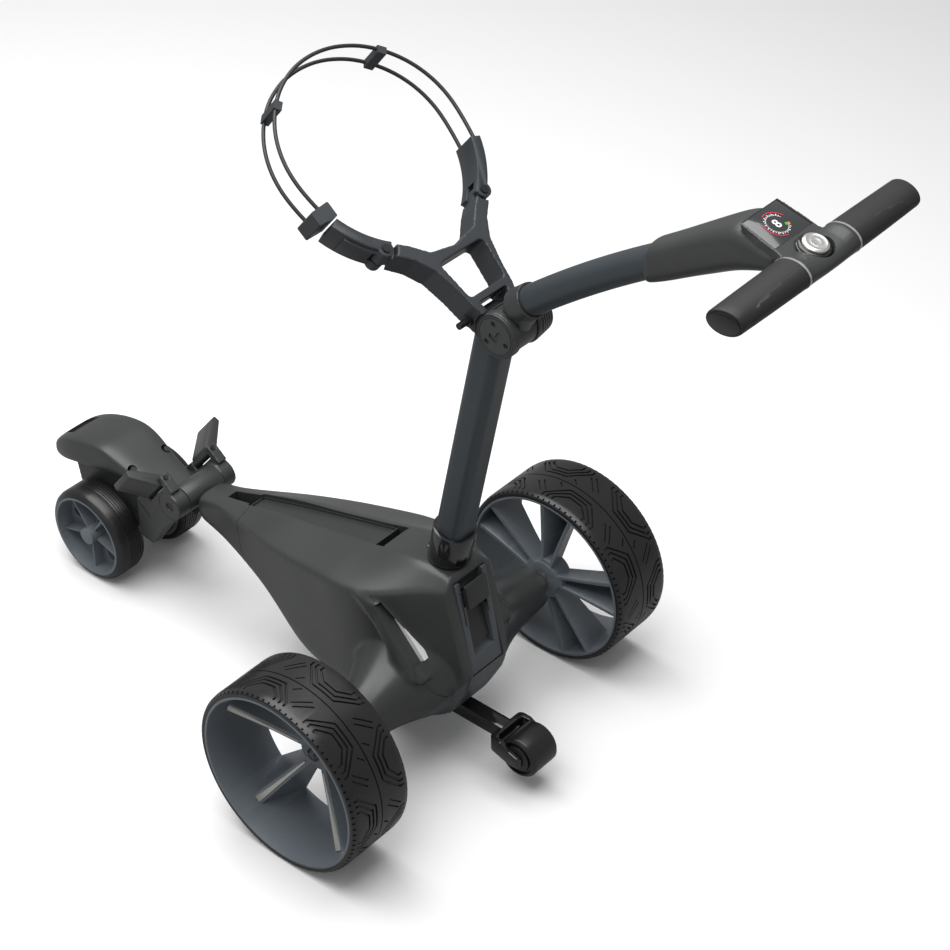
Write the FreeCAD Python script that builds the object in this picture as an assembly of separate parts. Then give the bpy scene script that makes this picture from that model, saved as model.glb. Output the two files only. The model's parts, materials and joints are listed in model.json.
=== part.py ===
"""Electric golf trolley: chassis, battery, three kinds of wheel, folding stem, bag ring and handle.

Millimetres, +X right, +Y forwards, +Z up. Shapes are drawn with the rear axle at y = 0 and are
moved by AXLE_Y when they are written, so that the origin is under the middle of the whole trolley.
"""
import FreeCAD, Part
import math
import os
from FreeCAD import Placement, Rotation, Vector

# Overall
FRONT_REACH = 683.0      # front lip of the scoop, ahead of the rear axle
REAR_REACH = 511.0       # back of the handle bar, behind the rear axle
AXLE_Y = (REAR_REACH - FRONT_REACH) / 2

# Fits
GAP = 0.3                # between bodies that move past each other
RUNNING = 0.05           # radial play of a shaft in its bore
WALL = 3.0               # moulded shells

# Rear wheels
WHEEL_R = 127.5
WHEEL_IN, WHEEL_OUT = 204.0, 300.0
TYRE_DEPTH = 8.0         # crown to the bonded face
RIM_WALL = 3.5
HUB_R = 24.0
HUB_IN, HUB_OUT = 203.0, 231.0
SPOKES = 5
SPOKE_PHASE = {"left": 0, "right": 8}
AXLE_R = 6.0
AXLE_IN, AXLE_OUT = 104.0, 229.0
BEARING_R = 16.0

# Front wheels and their carriage
FRONT_Y, FRONT_R = 577.0, 69.5
FRONT_IN, FRONT_OUT = 35.0, 82.0
FRONT_AXLE_R = 5.0
KEEL_HALF = 31.0
FOLD_Y, FOLD_Z = 431.0, 178.0
KNUCKLE_R = 19.5
KNUCKLE_HALF = 53.0      # half length of the whole hinge barrel
ARM_KNUCKLE_HALF = 31.0  # the chassis part of the barrel
FOLD_PIN_R = 6.0
PADDLE_PIN_R = 3.0

# Chassis and battery
BAY_FRONT, BAY_REAR = 318.0, 88.0
BATTERY_FRONT_HALF, BATTERY_REAR_HALF = 12.5, 21.0
BATTERY_FLOOR = 150.0
LINER_WALL = 2.0
MOTOR_R = 26.0
MOTOR_IN, MOTOR_OUT = 34.0, 110.0
SEAT_TOP = 298.4
DENT_FLOOR = 44.0        # half width left between the flank hollows

# Anti-tip wheel
TIP_Z = 66.0
TIP_ARM = 20.0           # square tube
TIP_WHEEL_Y, TIP_WHEEL_Z, TIP_WHEEL_R = -144.0, 56.0, 28.5
TIP_HALF = 24.0

# Stem, leaning back
STEM_LEAN = math.atan(0.2)
STEM_PIVOT_Y, STEM_PIVOT_Z = 10.0, 306.0
COLLAR_Y, COLLAR_Z = -15.0, 300.0
COLLAR_R = 27.0
COLLAR_LENGTH = 49.0
STEM_SIZE = 40.0
STEM_WALL = 2.2
STEM_LENGTH = 392.0      # before its top is cut to the hinge

# Handle hinge
HUB_Y, HUB_Z = -108.0, 674.0
CHEEK_R = 28.0
CHEEK_LEFT, CHEEK_IN, CHEEK_RIGHT = 24.0, 15.0, 21.0
EYE_R = 26.0
BOLT_R = 5.0
KNOB_OUT = 45.0

# Upper tube and handle bar
TUBE_R = 18.0
TUBE_START, TUBE_MIDDLE, TUBE_END = (-130.0, 715.0), (-212.0, 779.5), (-303.0, 841.5)
BAR_Y, BAR_Z = -489.0, 922.0
BAR_DEPTH, BAR_HEIGHT = 44.0, 32.0
BAR_HALF = 156.0
BAND_X, BAND_WIDTH = 43.0, 2.6
ROD_R, ROD_Z = 5.0, 918.0               # steel core of the bar
DISPLAY_TILT = math.radians(16.0)
DISPLAY_Y, DISPLAY_Z = -463.0, 931.0    # rear edge of the display plane
SPEED_Y, SPEED_Z = -482.8, 925.2      # foot of the speed control, on the same plane
SPEED_R = 18.5

# Bag ring: a tilted plane, u across, v up the plane, n out of its face
RING_Y, RING_Z = 91.6, 819.8
RING_TILT = math.radians(38.75)
CORD_R = 2.3
CORD_FRONT_N, CORD_REAR_N = 14.5, -15.0
RING_FRONT_N, RING_BACK_N = 20.0, -15.0
PIN_U, PIN_V = 82.0, -102.0
HOOP_ROUTE = [
    (119, -44), (127, -6), (124, 36), (106, 74), (74, 105), (37, 122),
    (0, 127), (-37, 122), (-74, 105), (-106, 74), (-124, 36), (-127, -6), (-121, -36),
]

# Accessory stud on the yoke's left foot
STUD_FROM, STUD_V, STUD_N = 32.0, -214.0, -4.0
STUD_R, STUD_LENGTH = 4.0, 16.0

X_AXIS = Vector(1, 0, 0)
Z_AXIS = Vector(0, 0, 1)
nodes = {}


# Helpers ---------------------------------------------------------------------------------------

def barrel(x0, x1, radius, y, z):
    """A cylinder along X."""
    return Part.makeCylinder(radius, x1 - x0, Vector(x0, y, z), X_AXIS)


def pipe(x0, x1, outer, inner, y, z):
    return barrel(x0, x1, outer, y, z).cut(barrel(x0 - 1, x1 + 1, inner, y, z))


def box(x0, x1, y0, y1, z0, z1):
    return Part.makeBox(x1 - x0, y1 - y0, z1 - z0, Vector(x0, y0, z0))


def fuse(*solids):
    return solids[0].fuse(list(solids[1:])).removeSplitter()


def group(solids):
    return Part.makeCompound(solids)


def outline(points, radius=0.0):
    """A closed wire through 3-D points of one plane, its corners rounded by radius."""
    if radius <= 0:
        return Part.makePolygon(points + [points[0]])
    edges = []
    last = None
    first = None
    count = len(points)
    for i in range(count):
        before, corner, after = points[i - 1], points[i], points[(i + 1) % count]
        back = (before - corner).normalize()
        ahead = (after - corner).normalize()
        half = back.getAngle(ahead) / 2
        reach = min((before - corner).Length, (after - corner).Length) * 0.45
        cut = min(radius / math.tan(half), reach)
        start, end = corner + back * cut, corner + ahead * cut
        middle_way = (back + ahead).normalize()
        depth = cut / math.cos(half) - cut * math.tan(half)
        if last is not None:
            edges.append(Part.LineSegment(last, start).toShape())
        else:
            first = start
        edges.append(Part.Arc(start, corner + middle_way * depth, end).toShape())
        last = end
    edges.append(Part.LineSegment(last, first).toShape())
    return Part.Wire(edges)


def side_plate(points, x0, x1, radius=0.0):
    """A (y, z) outline extruded along X."""
    wire = outline([Vector(x0, y, z) for y, z in points], radius)
    return Part.Face(wire).extrude(Vector(x1 - x0, 0, 0))


def plan_plate(points, z0, z1, radius=0.0):
    """An (x, y) outline extruded along Z."""
    wire = outline([Vector(x, y, z0) for x, y in points], radius)
    return Part.Face(wire).extrude(Vector(0, 0, z1 - z0))


def loft(wires, ruled=True):
    return Part.makeLoft(wires, True, ruled)


def mirrored(shape):
    return shape.mirror(Vector(0, 0, 0), X_AXIS)


def both(shape):
    return group([shape, mirrored(shape)])


def turned(profile_xr, y, z):
    """An (x, r) profile turned round the X axis through (y, z)."""
    wire = outline([Vector(x, y, z + r) for x, r in profile_xr])
    return Part.Face(wire).revolve(Vector(0, y, z), X_AXIS, 360)


def around_x(shape, angle, y, z):
    copy = shape.copy()
    copy.rotate(Vector(0, y, z), X_AXIS, angle)
    return copy


# The bag ring's plane
RING_UP = Vector(0, math.cos(RING_TILT), math.sin(RING_TILT))
RING_OUT = Vector(0, -math.sin(RING_TILT), math.cos(RING_TILT))
RING_CENTRE = Vector(0, RING_Y, RING_Z)


def ring_point(u, v, n=0.0):
    return RING_CENTRE + X_AXIS * u + RING_UP * v + RING_OUT * n


def ring_plate(points, n0, n1, radius=0.0):
    wire = outline([ring_point(u, v, n0) for u, v in points], radius)
    return Part.Face(wire).extrude(RING_OUT * (n1 - n0))


def ring_pin(u, v, radius, n0, n1):
    return Part.makeCylinder(radius, n1 - n0, ring_point(u, v, n0), RING_OUT)


# The stem's own axes: along the tube, and square to it towards the back
STEM_UP = Vector(0, -math.sin(STEM_LEAN), math.cos(STEM_LEAN))
STEM_BACK = Vector(0, -math.cos(STEM_LEAN), -math.sin(STEM_LEAN))
STEM_FOOT = Vector(0, COLLAR_Y, COLLAR_Z)


def stem_prism(width, depth, corner, start, length):
    """A rounded bar along the stem, start above the collar's foot."""
    foot = STEM_FOOT + STEM_UP * start
    across, along = X_AXIS * (width / 2), STEM_BACK * (depth / 2)
    points = [foot - across - along, foot + across - along, foot + across + along, foot - across + along]
    return Part.Face(outline(points, corner)).extrude(STEM_UP * length)


# Wheels ----------------------------------------------------------------------------------------

def rear_wheel(side):
    """Tyre, rim and axle of one rear wheel, built on the right and mirrored for the left."""
    bond = WHEEL_R - TYRE_DEPTH
    tyre = turned([
        (WHEEL_IN, bond), (WHEEL_IN, WHEEL_R - 5), (WHEEL_IN + 8, WHEEL_R - 1.5),
        (WHEEL_IN + 34, WHEEL_R), (WHEEL_OUT - 34, WHEEL_R), (WHEEL_OUT - 8, WHEEL_R - 1.5),
        (WHEEL_OUT, WHEEL_R - 5), (WHEEL_OUT, bond),
    ], 0, WHEEL_R)
    inner = bond - RIM_WALL
    band = turned([
        (WHEEL_IN, bond), (WHEEL_IN, inner), (WHEEL_OUT, inner), (WHEEL_OUT, bond),
    ], 0, WHEEL_R)
    hub = pipe(HUB_IN, HUB_OUT, HUB_R, AXLE_R, 0, WHEEL_R)
    rim = fuse(band, hub, *[
        around_x(rear_spoke(inner), 360 / SPOKES * i + SPOKE_PHASE[side], 0, WHEEL_R)
        for i in range(SPOKES)
    ]).cut(barrel(HUB_IN - 1, HUB_OUT + 1, AXLE_R, 0, WHEEL_R))
    button_bore = barrel(AXLE_OUT, HUB_OUT + 20, 9.0 + GAP, 0, WHEEL_R)
    rim = rim.cut(button_bore)
    axle = barrel(AXLE_IN, AXLE_OUT, AXLE_R, 0, WHEEL_R)
    dome = turned([
        (AXLE_OUT + 4, 0), (AXLE_OUT + 4, 9), (HUB_OUT + 5, 9), (HUB_OUT + 8, 5), (HUB_OUT + 8.5, 0),
    ], 0, WHEEL_R)
    for name, solid in (("tyre", tyre), ("rim", rim), ("axle", axle), ("wheel_button", dome)):
        nodes[side + "_" + name] = solid if side == "right" else mirrored(solid)


def rear_spoke(rim_inner):
    """A channel-shaped spoke: narrow at the hub, wide and dished outwards at the rim band."""
    def section(radius, x_back, x_face, half_back, half_face):
        z = WHEEL_R + radius
        return outline([
            Vector(x_back, -half_back, z), Vector(x_face, -half_face, z),
            Vector(x_face, half_face, z), Vector(x_back, half_back, z),
        ])
    reach = rim_inner + 1.5
    body = loft([
        section(16, HUB_IN + 1, HUB_OUT - 1, 8, 5),
        section(60, HUB_IN + 2, 246, 15, 5.5),
        section(reach, HUB_IN + 3, 268, 27, 7),
    ])
    channel = loft([
        section(30, HUB_IN - 4, 223, 6.5, 3),
        section(60, HUB_IN - 4, 238, 11.5, 3.5),
        section(rim_inner, HUB_IN - 4, 260, 23, 4),
    ])
    return body.cut(channel).common(barrel(HUB_IN, WHEEL_OUT, rim_inner + RIM_WALL - 0.5, 0, WHEEL_R))


def front_wheel(side):
    y, z = FRONT_Y, FRONT_R
    bond = FRONT_R - 9
    tyre = turned([
        (FRONT_IN, bond), (FRONT_IN, FRONT_R - 6), (FRONT_IN + 4, FRONT_R - 1),
        (FRONT_IN + 14, FRONT_R), (FRONT_OUT - 18, FRONT_R), (FRONT_OUT - 8, FRONT_R - 2),
        (FRONT_OUT - 1, FRONT_R - 7), (FRONT_OUT, bond),
    ], y, z)
    inner = bond - 3
    band = turned([(FRONT_IN, bond), (FRONT_IN, inner), (FRONT_OUT, inner), (FRONT_OUT, bond)], y, z)
    hub = barrel(FRONT_IN + 1, FRONT_OUT - 1, 12, y, z)
    web = barrel(52, 56, inner + 1, y, z)
    windows = [
        around_x(side_plate([
            (y - 9, z + 22), (y + 9, z + 22), (y + 15, z + 50), (y - 15, z + 50),
        ], 45, 60, 6), 72 * i, y, z)
        for i in range(5)
    ]
    ribs = [
        around_x(box(50, 72, y - 1.5, y + 1.5, z + 8, z + inner + 1), 72 * i + 36, y, z)
        for i in range(5)
    ]
    rim = fuse(band, hub, web.cut(windows[0].fuse(windows[1:])), *ribs)
    rim = rim.cut(barrel(0, FRONT_OUT - 8, FRONT_AXLE_R + RUNNING, y, z))
    for name, solid in (("tyre", tyre), ("rim", rim)):
        nodes["front_" + side + "_" + name] = solid if side == "right" else mirrored(solid)


def antitip():
    y, z = TIP_WHEEL_Y, TIP_WHEEL_Z
    half = TIP_ARM / 2
    reach = TIP_WHEEL_R + 4
    tail = y + reach + 4
    arm = box(-half, half, tail, 40, TIP_Z - half, TIP_Z + half)
    arm = arm.cut(box(-half + 2, half - 2, tail + 6, 41, TIP_Z - half + 2, TIP_Z + half - 2))
    outer_half = TIP_HALF + 7
    fork = plan_plate([
        (-outer_half, y - 9), (outer_half, y - 9), (outer_half, tail + 4), (-outer_half, tail + 4),
    ], z - 12, z + 24, 8)
    inner_half = TIP_HALF + 1
    fork = fork.cut(plan_plate([
        (-inner_half, y - 40), (inner_half, y - 40), (inner_half, y + reach), (-inner_half, y + reach),
    ], z - 20, z + 30, 6))
    fork = fork.common(side_plate([
        (tail + 5, z + 19), (tail + 5, z + 1), (y + 8, z - 9), (y - 9, z - 9), (y - 9, z + 5),
        (y + 8, z + 11), (y + 22, z + 19),
    ], -outer_half - 1, outer_half + 1, 3))
    spindle = barrel(-TIP_HALF - 7, TIP_HALF + 7, 4, y, z)
    nodes["antitip_arm"] = fuse(arm, fork, spindle)
    nodes["antitip_wheel"] = turned([
        (-TIP_HALF, 4 + RUNNING), (-TIP_HALF, 18), (-TIP_HALF + 4, 18), (-TIP_HALF + 4, 22),
        (-TIP_HALF, 23), (-TIP_HALF, 25), (-TIP_HALF + 4, TIP_WHEEL_R), (TIP_HALF - 4, TIP_WHEEL_R),
        (TIP_HALF, 25), (TIP_HALF, 23), (TIP_HALF - 4, 22), (TIP_HALF - 4, 18), (TIP_HALF, 18),
        (TIP_HALF, 4 + RUNNING),
    ], y, z)
    half += GAP
    sleeve = box(-half - 2.5, half + 2.5, -24, 44, TIP_Z - half - 2.5, TIP_Z + half + 2.5)
    nodes["antitip_socket"] = sleeve.cut(box(-half, half, -25, 41, TIP_Z - half, TIP_Z + half))


# Chassis ---------------------------------------------------------------------------------------

# Half sections from the front knuckle to the back: y, then (x, z) of the bay edge, the shoulder,
# the side, the lower side and the belly.
SECTIONS = [
    (412, (15, 191), (26, 186), (29, 172), (26, 158), (14, 152)),
    (365, (12, 201), (23, 199), (28, 176), (24, 146), (12, 131)),
    (318, (16, 216), (40, 206), (42, 180), (34, 138), (17, 108)),
    (270, (21, 232), (55, 216), (56, 184), (45, 126), (25, 92)),
    (228, (23, 242), (66, 224), (67, 184), (53, 104), (36, 62)),
    (190, (25, 250), (74, 232), (76, 182), (60, 84), (45, 42)),
    (132, (25, 265), (80, 244), (85, 182), (66, 76), (46, 38)),
    (82, (27, 277), (89, 251), (94, 182), (76, 74), (47, 37)),
    (40, (30, 290), (84, 256), (90, 182), (84, 74), (46, 40)),
    (0, (30, 298), (68, 266), (80, 186), (86, 84), (42, 46)),
    (-40, (29, 292), (46, 278), (56, 190), (58, 108), (30, 62)),
    (-84, (27, 270), (33, 262), (38, 190), (36, 150), (20, 110)),
]
SIDE_PROFILE = [
    (420, 300), (-10, 320), (-46, 288), (-77, 158), (-70, 130), (-48, 88), (-20, 56), (20, 38), (420, 20),
]
TRAY_LINE = [
    (-90, 200), (-77, 157), (-48, 116), (-5, 78), (60, 70), (150, 78), (262, 104), (262, 20), (-90, 20),
]


def section_wire(station, inset=0.0):
    y, corners = station[0], station[1:]
    centre_z = sum(z for _, z in corners) / len(corners)
    right = []
    for x, z in corners:
        span = math.hypot(x, z - centre_z)
        scale = (span - inset * 1.15) / span
        right.append(Vector(x * scale, y, centre_z + (z - centre_z) * scale))
    left = [Vector(-p.x, p.y, p.z) for p in reversed(right)]
    return outline(right + left)


def wing_body(inset=0.0):
    """The axle housing on the right: it flares out of the body and narrows to the wheel."""
    def ring(x, y, z, ry, rz):
        return outline([
            Vector(x, y + (ry - inset) * math.cos(a), z + (rz - inset) * math.sin(a))
            for a in [math.radians(22.5 + 45 * k) for k in range(8)]
        ])
    return loft([
        ring(52, 12, 140, 78, 76), ring(84, 14, 134, 64, 62), ring(118, 8, 128, 44, 44),
        ring(160, 2, 127.5, 34, 34), ring(196.5 - inset, 0, 127.5, 30, 30),
    ])


def body_solid(inset=0.0):
    wires = [section_wire(s, inset) for s in SECTIONS]
    hull = loft(wires)
    profile = side_plate(SIDE_PROFILE, -120, 120)
    if inset:
        shrink = Placement(Vector(0, inset * 1.3, 0), Rotation())
        profile.Placement = shrink
        hull = hull.common(box(-120, 120, -200, 396, 0, 400))
    hull = hull.common(profile)
    wing = wing_body(inset)
    body = fuse(hull, wing, mirrored(wing))
    for side in (1, -1):
        body = body.cut(flank_dent(side, inset))
    return body


def flank_dent(side, inset):
    """The three-cornered hollow in each flank, between the side slot and the rear corner."""
    def corner_set(x, grow):
        return outline([
            Vector(side * x, 18 + grow, 246 + grow), Vector(side * x, -24 - grow, 262 + grow),
            Vector(side * x, -40 - grow, 172 - 2 * grow),
        ])
    return loft([corner_set(DENT_FLOOR - inset, -4 + inset), corner_set(110, 8 + inset)])


def battery_plan(grow=0.0):
    front, rear = BATTERY_FRONT_HALF + grow, BATTERY_REAR_HALF + grow
    return [(-rear, BAY_REAR + 4 - grow), (rear, BAY_REAR + 4 - grow), (front, BAY_FRONT + grow),
            (-front, BAY_FRONT + grow)]


def bay_top(drop):
    """Everything above the line of the bay's rim, lowered by drop."""
    return side_plate([
        (420, 187 - drop), (362, 200 - drop), (318, 214 - drop), (228, 239.5 - drop), (142, 261 - drop),
        (60, 281 - drop), (60, 400), (420, 400),
    ], -60, 60)


def chassis():
    outer, inner = body_solid(), body_solid(WALL)
    hollow = outer.cut(inner)
    finger_hole = plan_plate([(-11, 316), (11, 316), (8, 364), (-8, 364)], 170, 300, 3)
    bay = fuse(plan_plate(battery_plan(GAP + LINER_WALL), BATTERY_FLOOR - LINER_WALL - GAP, 330),
               plan_plate([(-23, 74), (23, 74), (23, 100), (-23, 100)], 200, 330), finger_hole)
    hollow = hollow.cut(bay)
    lower = side_plate(TRAY_LINE, -220, 220)
    half = TIP_ARM / 2 + GAP + 2.5
    tip_slot = box(-half, half, -80, 46, TIP_Z - half, TIP_Z + half)
    bearing_bore = barrel(-200, 200, BEARING_R, 0, WHEEL_R)
    catch_well = side_plate([(-30, 282), (-90, 294), (-96, 150), (-57, 163)], -28, 28)
    shell = hollow.cut(lower).cut(catch_well).cut(bearing_bore)
    seat_cut = box(-60, 60, -60, 70, SEAT_TOP, 400)
    shell = shell.cut(seat_cut).cut(barrel(-220, 220, BEARING_R, 0, WHEEL_R))
    tray = hollow.common(lower).cut(tip_slot).cut(bearing_bore).cut(catch_well)
    nodes["main_shell"] = biggest(shell)
    nodes["lower_tray"] = biggest(tray)

    frame_outer = side_plate([(-36, 283), (-48, 285), (-76.5, 158), (-55, 163)], -28, 28)
    frame_hollow = side_plate([(-30, 262), (-60, 268), (-79, 182), (-62, 180)], -18, 18)
    nodes["rear_frame"] = frame_outer.cut(frame_hollow).cut(box(-20.5, 20.5, -70, -40, 236, 300))

    liner = plan_plate(battery_plan(GAP + LINER_WALL), BATTERY_FLOOR - LINER_WALL - GAP, 320)
    liner = liner.cut(plan_plate(battery_plan(GAP), BATTERY_FLOOR - GAP, 330)).cut(bay_top(1.0))
    nodes["bay_liner"] = liner
    battery = plan_plate(battery_plan(), BATTERY_FLOOR, 320, 5).cut(bay_top(3.0))
    nodes["battery_pack"] = battery.cut(box(-30, 30, 80, 94.5, BATTERY_FLOOR - 1, BATTERY_FLOOR + 14))
    contact = box(-3, 3, 92 + GAP, 94, BATTERY_FLOOR, BATTERY_FLOOR + 12)
    nodes["battery_contacts"] = group([contact.translated(Vector(x, 0, 0)) for x in (-10, 0, 10)])

    motor = barrel(MOTOR_IN, MOTOR_OUT, MOTOR_R, 0, WHEEL_R).cut(
        barrel(AXLE_IN - 0.5, MOTOR_OUT + 1, AXLE_R + RUNNING, 0, WHEEL_R))
    nodes["gearmotors"] = both(motor)
    bearing = pipe(128, 138, BEARING_R, AXLE_R + RUNNING, 0, WHEEL_R)
    end_bearing = pipe(184, 194, BEARING_R, AXLE_R + RUNNING, 0, WHEEL_R)
    nodes["wheel_bearings"] = group([bearing, end_bearing, mirrored(bearing), mirrored(end_bearing)])
    nodes["control_board"] = fuse(box(-40, 40, 58, 60, 96, 140), box(-22, 6, 60, 68, 104, 126))

    knuckle = pipe(-ARM_KNUCKLE_HALF, ARM_KNUCKLE_HALF, KNUCKLE_R, FOLD_PIN_R, FOLD_Y, FOLD_Z)
    root = box(-24, 24, 397, 425, 160, 186).common(inner_arm())
    nodes["front_knuckle"] = fuse(knuckle, root).cut(
        barrel(-40, 40, FOLD_PIN_R + RUNNING, FOLD_Y, FOLD_Z)).cut(nodes["main_shell"])

    tab = fuse(side_plate([(5, 285), (15, 285), (15, 306), (5, 306)], -5, 5),
               barrel(-5, 5, 5, STEM_PIVOT_Y, STEM_PIVOT_Z),
               box(-14, 14, -2, 22, 283, 287))
    nodes["main_shell"] = nodes["main_shell"].cut(tab)
    nodes["stem_seat"] = tab.cut(barrel(-6, 6, 2, STEM_PIVOT_Y, STEM_PIVOT_Z))
    nodes["stem_hinge_pin"] = barrel(-12, 12, 2, STEM_PIVOT_Y, STEM_PIVOT_Z)
    screw = Part.makeCylinder(2.6, 8, Vector(0, 0, 0), Z_AXIS)
    spots = [(30, 150), (-30, 150), (34, 90), (-34, 90)]
    nodes["shell_screws"] = group([screw.translated(Vector(x, y, 34)) for x, y in spots])
    nodes["lower_tray"] = biggest(nodes["lower_tray"].cut(nodes["shell_screws"]))
    lever = side_plate([(-47.5, 262), (-54, 284), (-58, 280), (-64, 250), (-60, 249)], -19, 19, 1.5)
    nodes["rear_catch"] = lever


def inner_arm():
    return loft([section_wire(s, WALL) for s in SECTIONS[:2]])


def biggest(shape):
    return max(shape.Solids, key=lambda s: s.Volume)



# Front carriage --------------------------------------------------------------------------------

SCOOP_TOP = [
    (683, 156), (676, 164), (640, 185), (600, 199), (570, 201), (545, 191), (515, 176),
    (486, 168), (458, 168),
]
SCOOP_UNDER = [
    (458, 161), (486, 161), (512, 166), (540, 180), (566, 191), (600, 189), (640, 174),
    (672, 152), (681, 148),
]
BLOCK = [(36, -126), (51, -126), (51, -98), (36, -98)]
BLOCK_BACK = [(36, -126), (51, -126), (51, -112.5), (36, -112.5)]
PADDLE_AT = (43.5, -104.0)
PADDLE_N = (-746.0, -700.0)


def front_carriage():
    plate = side_plate(SCOOP_TOP + SCOOP_UNDER, -44, 44)
    plan = plan_plate([(-34, 456), (34, 456), (36, 520), (44, 545), (44, 630), (36, 683), (-36, 683),
                       (-44, 630), (-44, 545), (-36, 520)], 100, 260, 4)
    skirt = side_plate([(683, 156), (640, 185), (600, 199), (570, 201), (545, 191), (528, 182), (560, 160),
                        (640, 146), (678, 142)], 40, 44)
    grip_slot = plan_plate([(-22, 654), (22, 654), (19, 671), (-19, 671)], 120, 220, 3)
    scoop = fuse(plate, skirt, mirrored(skirt)).common(plan).cut(grip_slot)
    screw_spots = [Vector(31, 529, 170), Vector(-31, 529, 170)]
    screws = [Part.makeCylinder(4.5, 16, spot, Vector(0, -0.45, 0.89)) for spot in screw_spots]
    nodes["bag_scoop"] = biggest(scoop.cut(screws[0]).cut(screws[1]))

    middle = side_plate([
        (453, 192), (453, 181), (484, 161), (484, 104), (515, 92), (548, 60), (577, 54),
        (606, 60), (636, 112), (645, 160), (600, 185), (566, 188), (530, 172), (500, 160),
    ], -KEEL_HALF, KEEL_HALF)
    ear = fuse(side_plate([(436, 193), (468, 168), (500, 150), (500, 96), (474, 92), (448, 132), (418, 163)],
                          ARM_KNUCKLE_HALF + GAP, KNUCKLE_HALF - 3),
               barrel(ARM_KNUCKLE_HALF + GAP, KNUCKLE_HALF, KNUCKLE_R, FOLD_Y, FOLD_Z))
    bridge = side_plate([(484, 161), (484, 104), (500, 96), (500, 158)], -KNUCKLE_HALF + 3, KNUCKLE_HALF - 3)
    block = fuse(ring_plate(BLOCK_BACK, -770, -690), ring_plate(BLOCK, -770, PADDLE_N[0] - GAP),
                 ring_plate(BLOCK, PADDLE_N[1] + GAP, -690))
    keel = fuse(middle, bridge, ear, mirrored(ear), block, mirrored(block))
    keel = keel.cut(nodes["bag_scoop"]).cut(group(screws))
    for u in (PADDLE_AT[0], -PADDLE_AT[0]):
        keel = keel.cut(ring_pin(u, PADDLE_AT[1], PADDLE_PIN_R, -780, -680))
    arm_space = barrel(-ARM_KNUCKLE_HALF - GAP, ARM_KNUCKLE_HALF + GAP, KNUCKLE_R + GAP, FOLD_Y, FOLD_Z)
    keel = keel.cut(arm_space).cut(barrel(-60, 60, FOLD_PIN_R, FOLD_Y, FOLD_Z))
    cavity = side_plate([
        (516, 72), (552, 46), (556, 96), (598, 96), (602, 46), (636, 82), (628, 108), (638, 150),
        (600, 176), (566, 178), (530, 161), (524, 120),
    ], -KEEL_HALF + 4, KEEL_HALF - 4)
    keel = keel.cut(cavity.cut(barrel(-60, 60, 14, FRONT_Y, FRONT_R)))
    nodes["front_keel"] = biggest(keel.cut(barrel(-60, 60, FRONT_AXLE_R, FRONT_Y, FRONT_R)))
    nodes["fold_pin"] = barrel(-KNUCKLE_HALF + 2, KNUCKLE_HALF - 2, FOLD_PIN_R, FOLD_Y, FOLD_Z)
    nodes["front_axle"] = barrel(-FRONT_OUT + 9, FRONT_OUT - 9, FRONT_AXLE_R, FRONT_Y, FRONT_R)

    u, v = PADDLE_AT
    blade = [
        (u - 7, v - 2), (u, v - 7), (u + 9, v - 3), (u + 40, v + 28), (u + 38, v + 37), (u + 30, v + 35),
        (u - 3, v + 8),
    ]
    pins = []
    for side, name in ((1, "right_paddle"), (-1, "left_paddle")):
        paddle = ring_plate([(side * a, b) for a, b in blade], PADDLE_N[0], PADDLE_N[1], 3)
        nodes[name] = paddle.cut(ring_pin(side * u, v, PADDLE_PIN_R + RUNNING, -780, -680))
        pins.append(ring_pin(side * u, v, PADDLE_PIN_R, -769, -689))
    nodes["carriage_fasteners"] = group(screws + pins)


# Stem ------------------------------------------------------------------------------------------

def wedge(half, reach=90):
    """The sector round the handle hinge that the elbow sweeps."""
    angles = [52, 90, 130, 170, 210, 240, 275]
    points = [(HUB_Y, HUB_Z)] + [
        (HUB_Y + reach * math.cos(math.radians(a)), HUB_Z + reach * math.sin(math.radians(a)))
        for a in angles
    ]
    return side_plate(points, -half, half)


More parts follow.
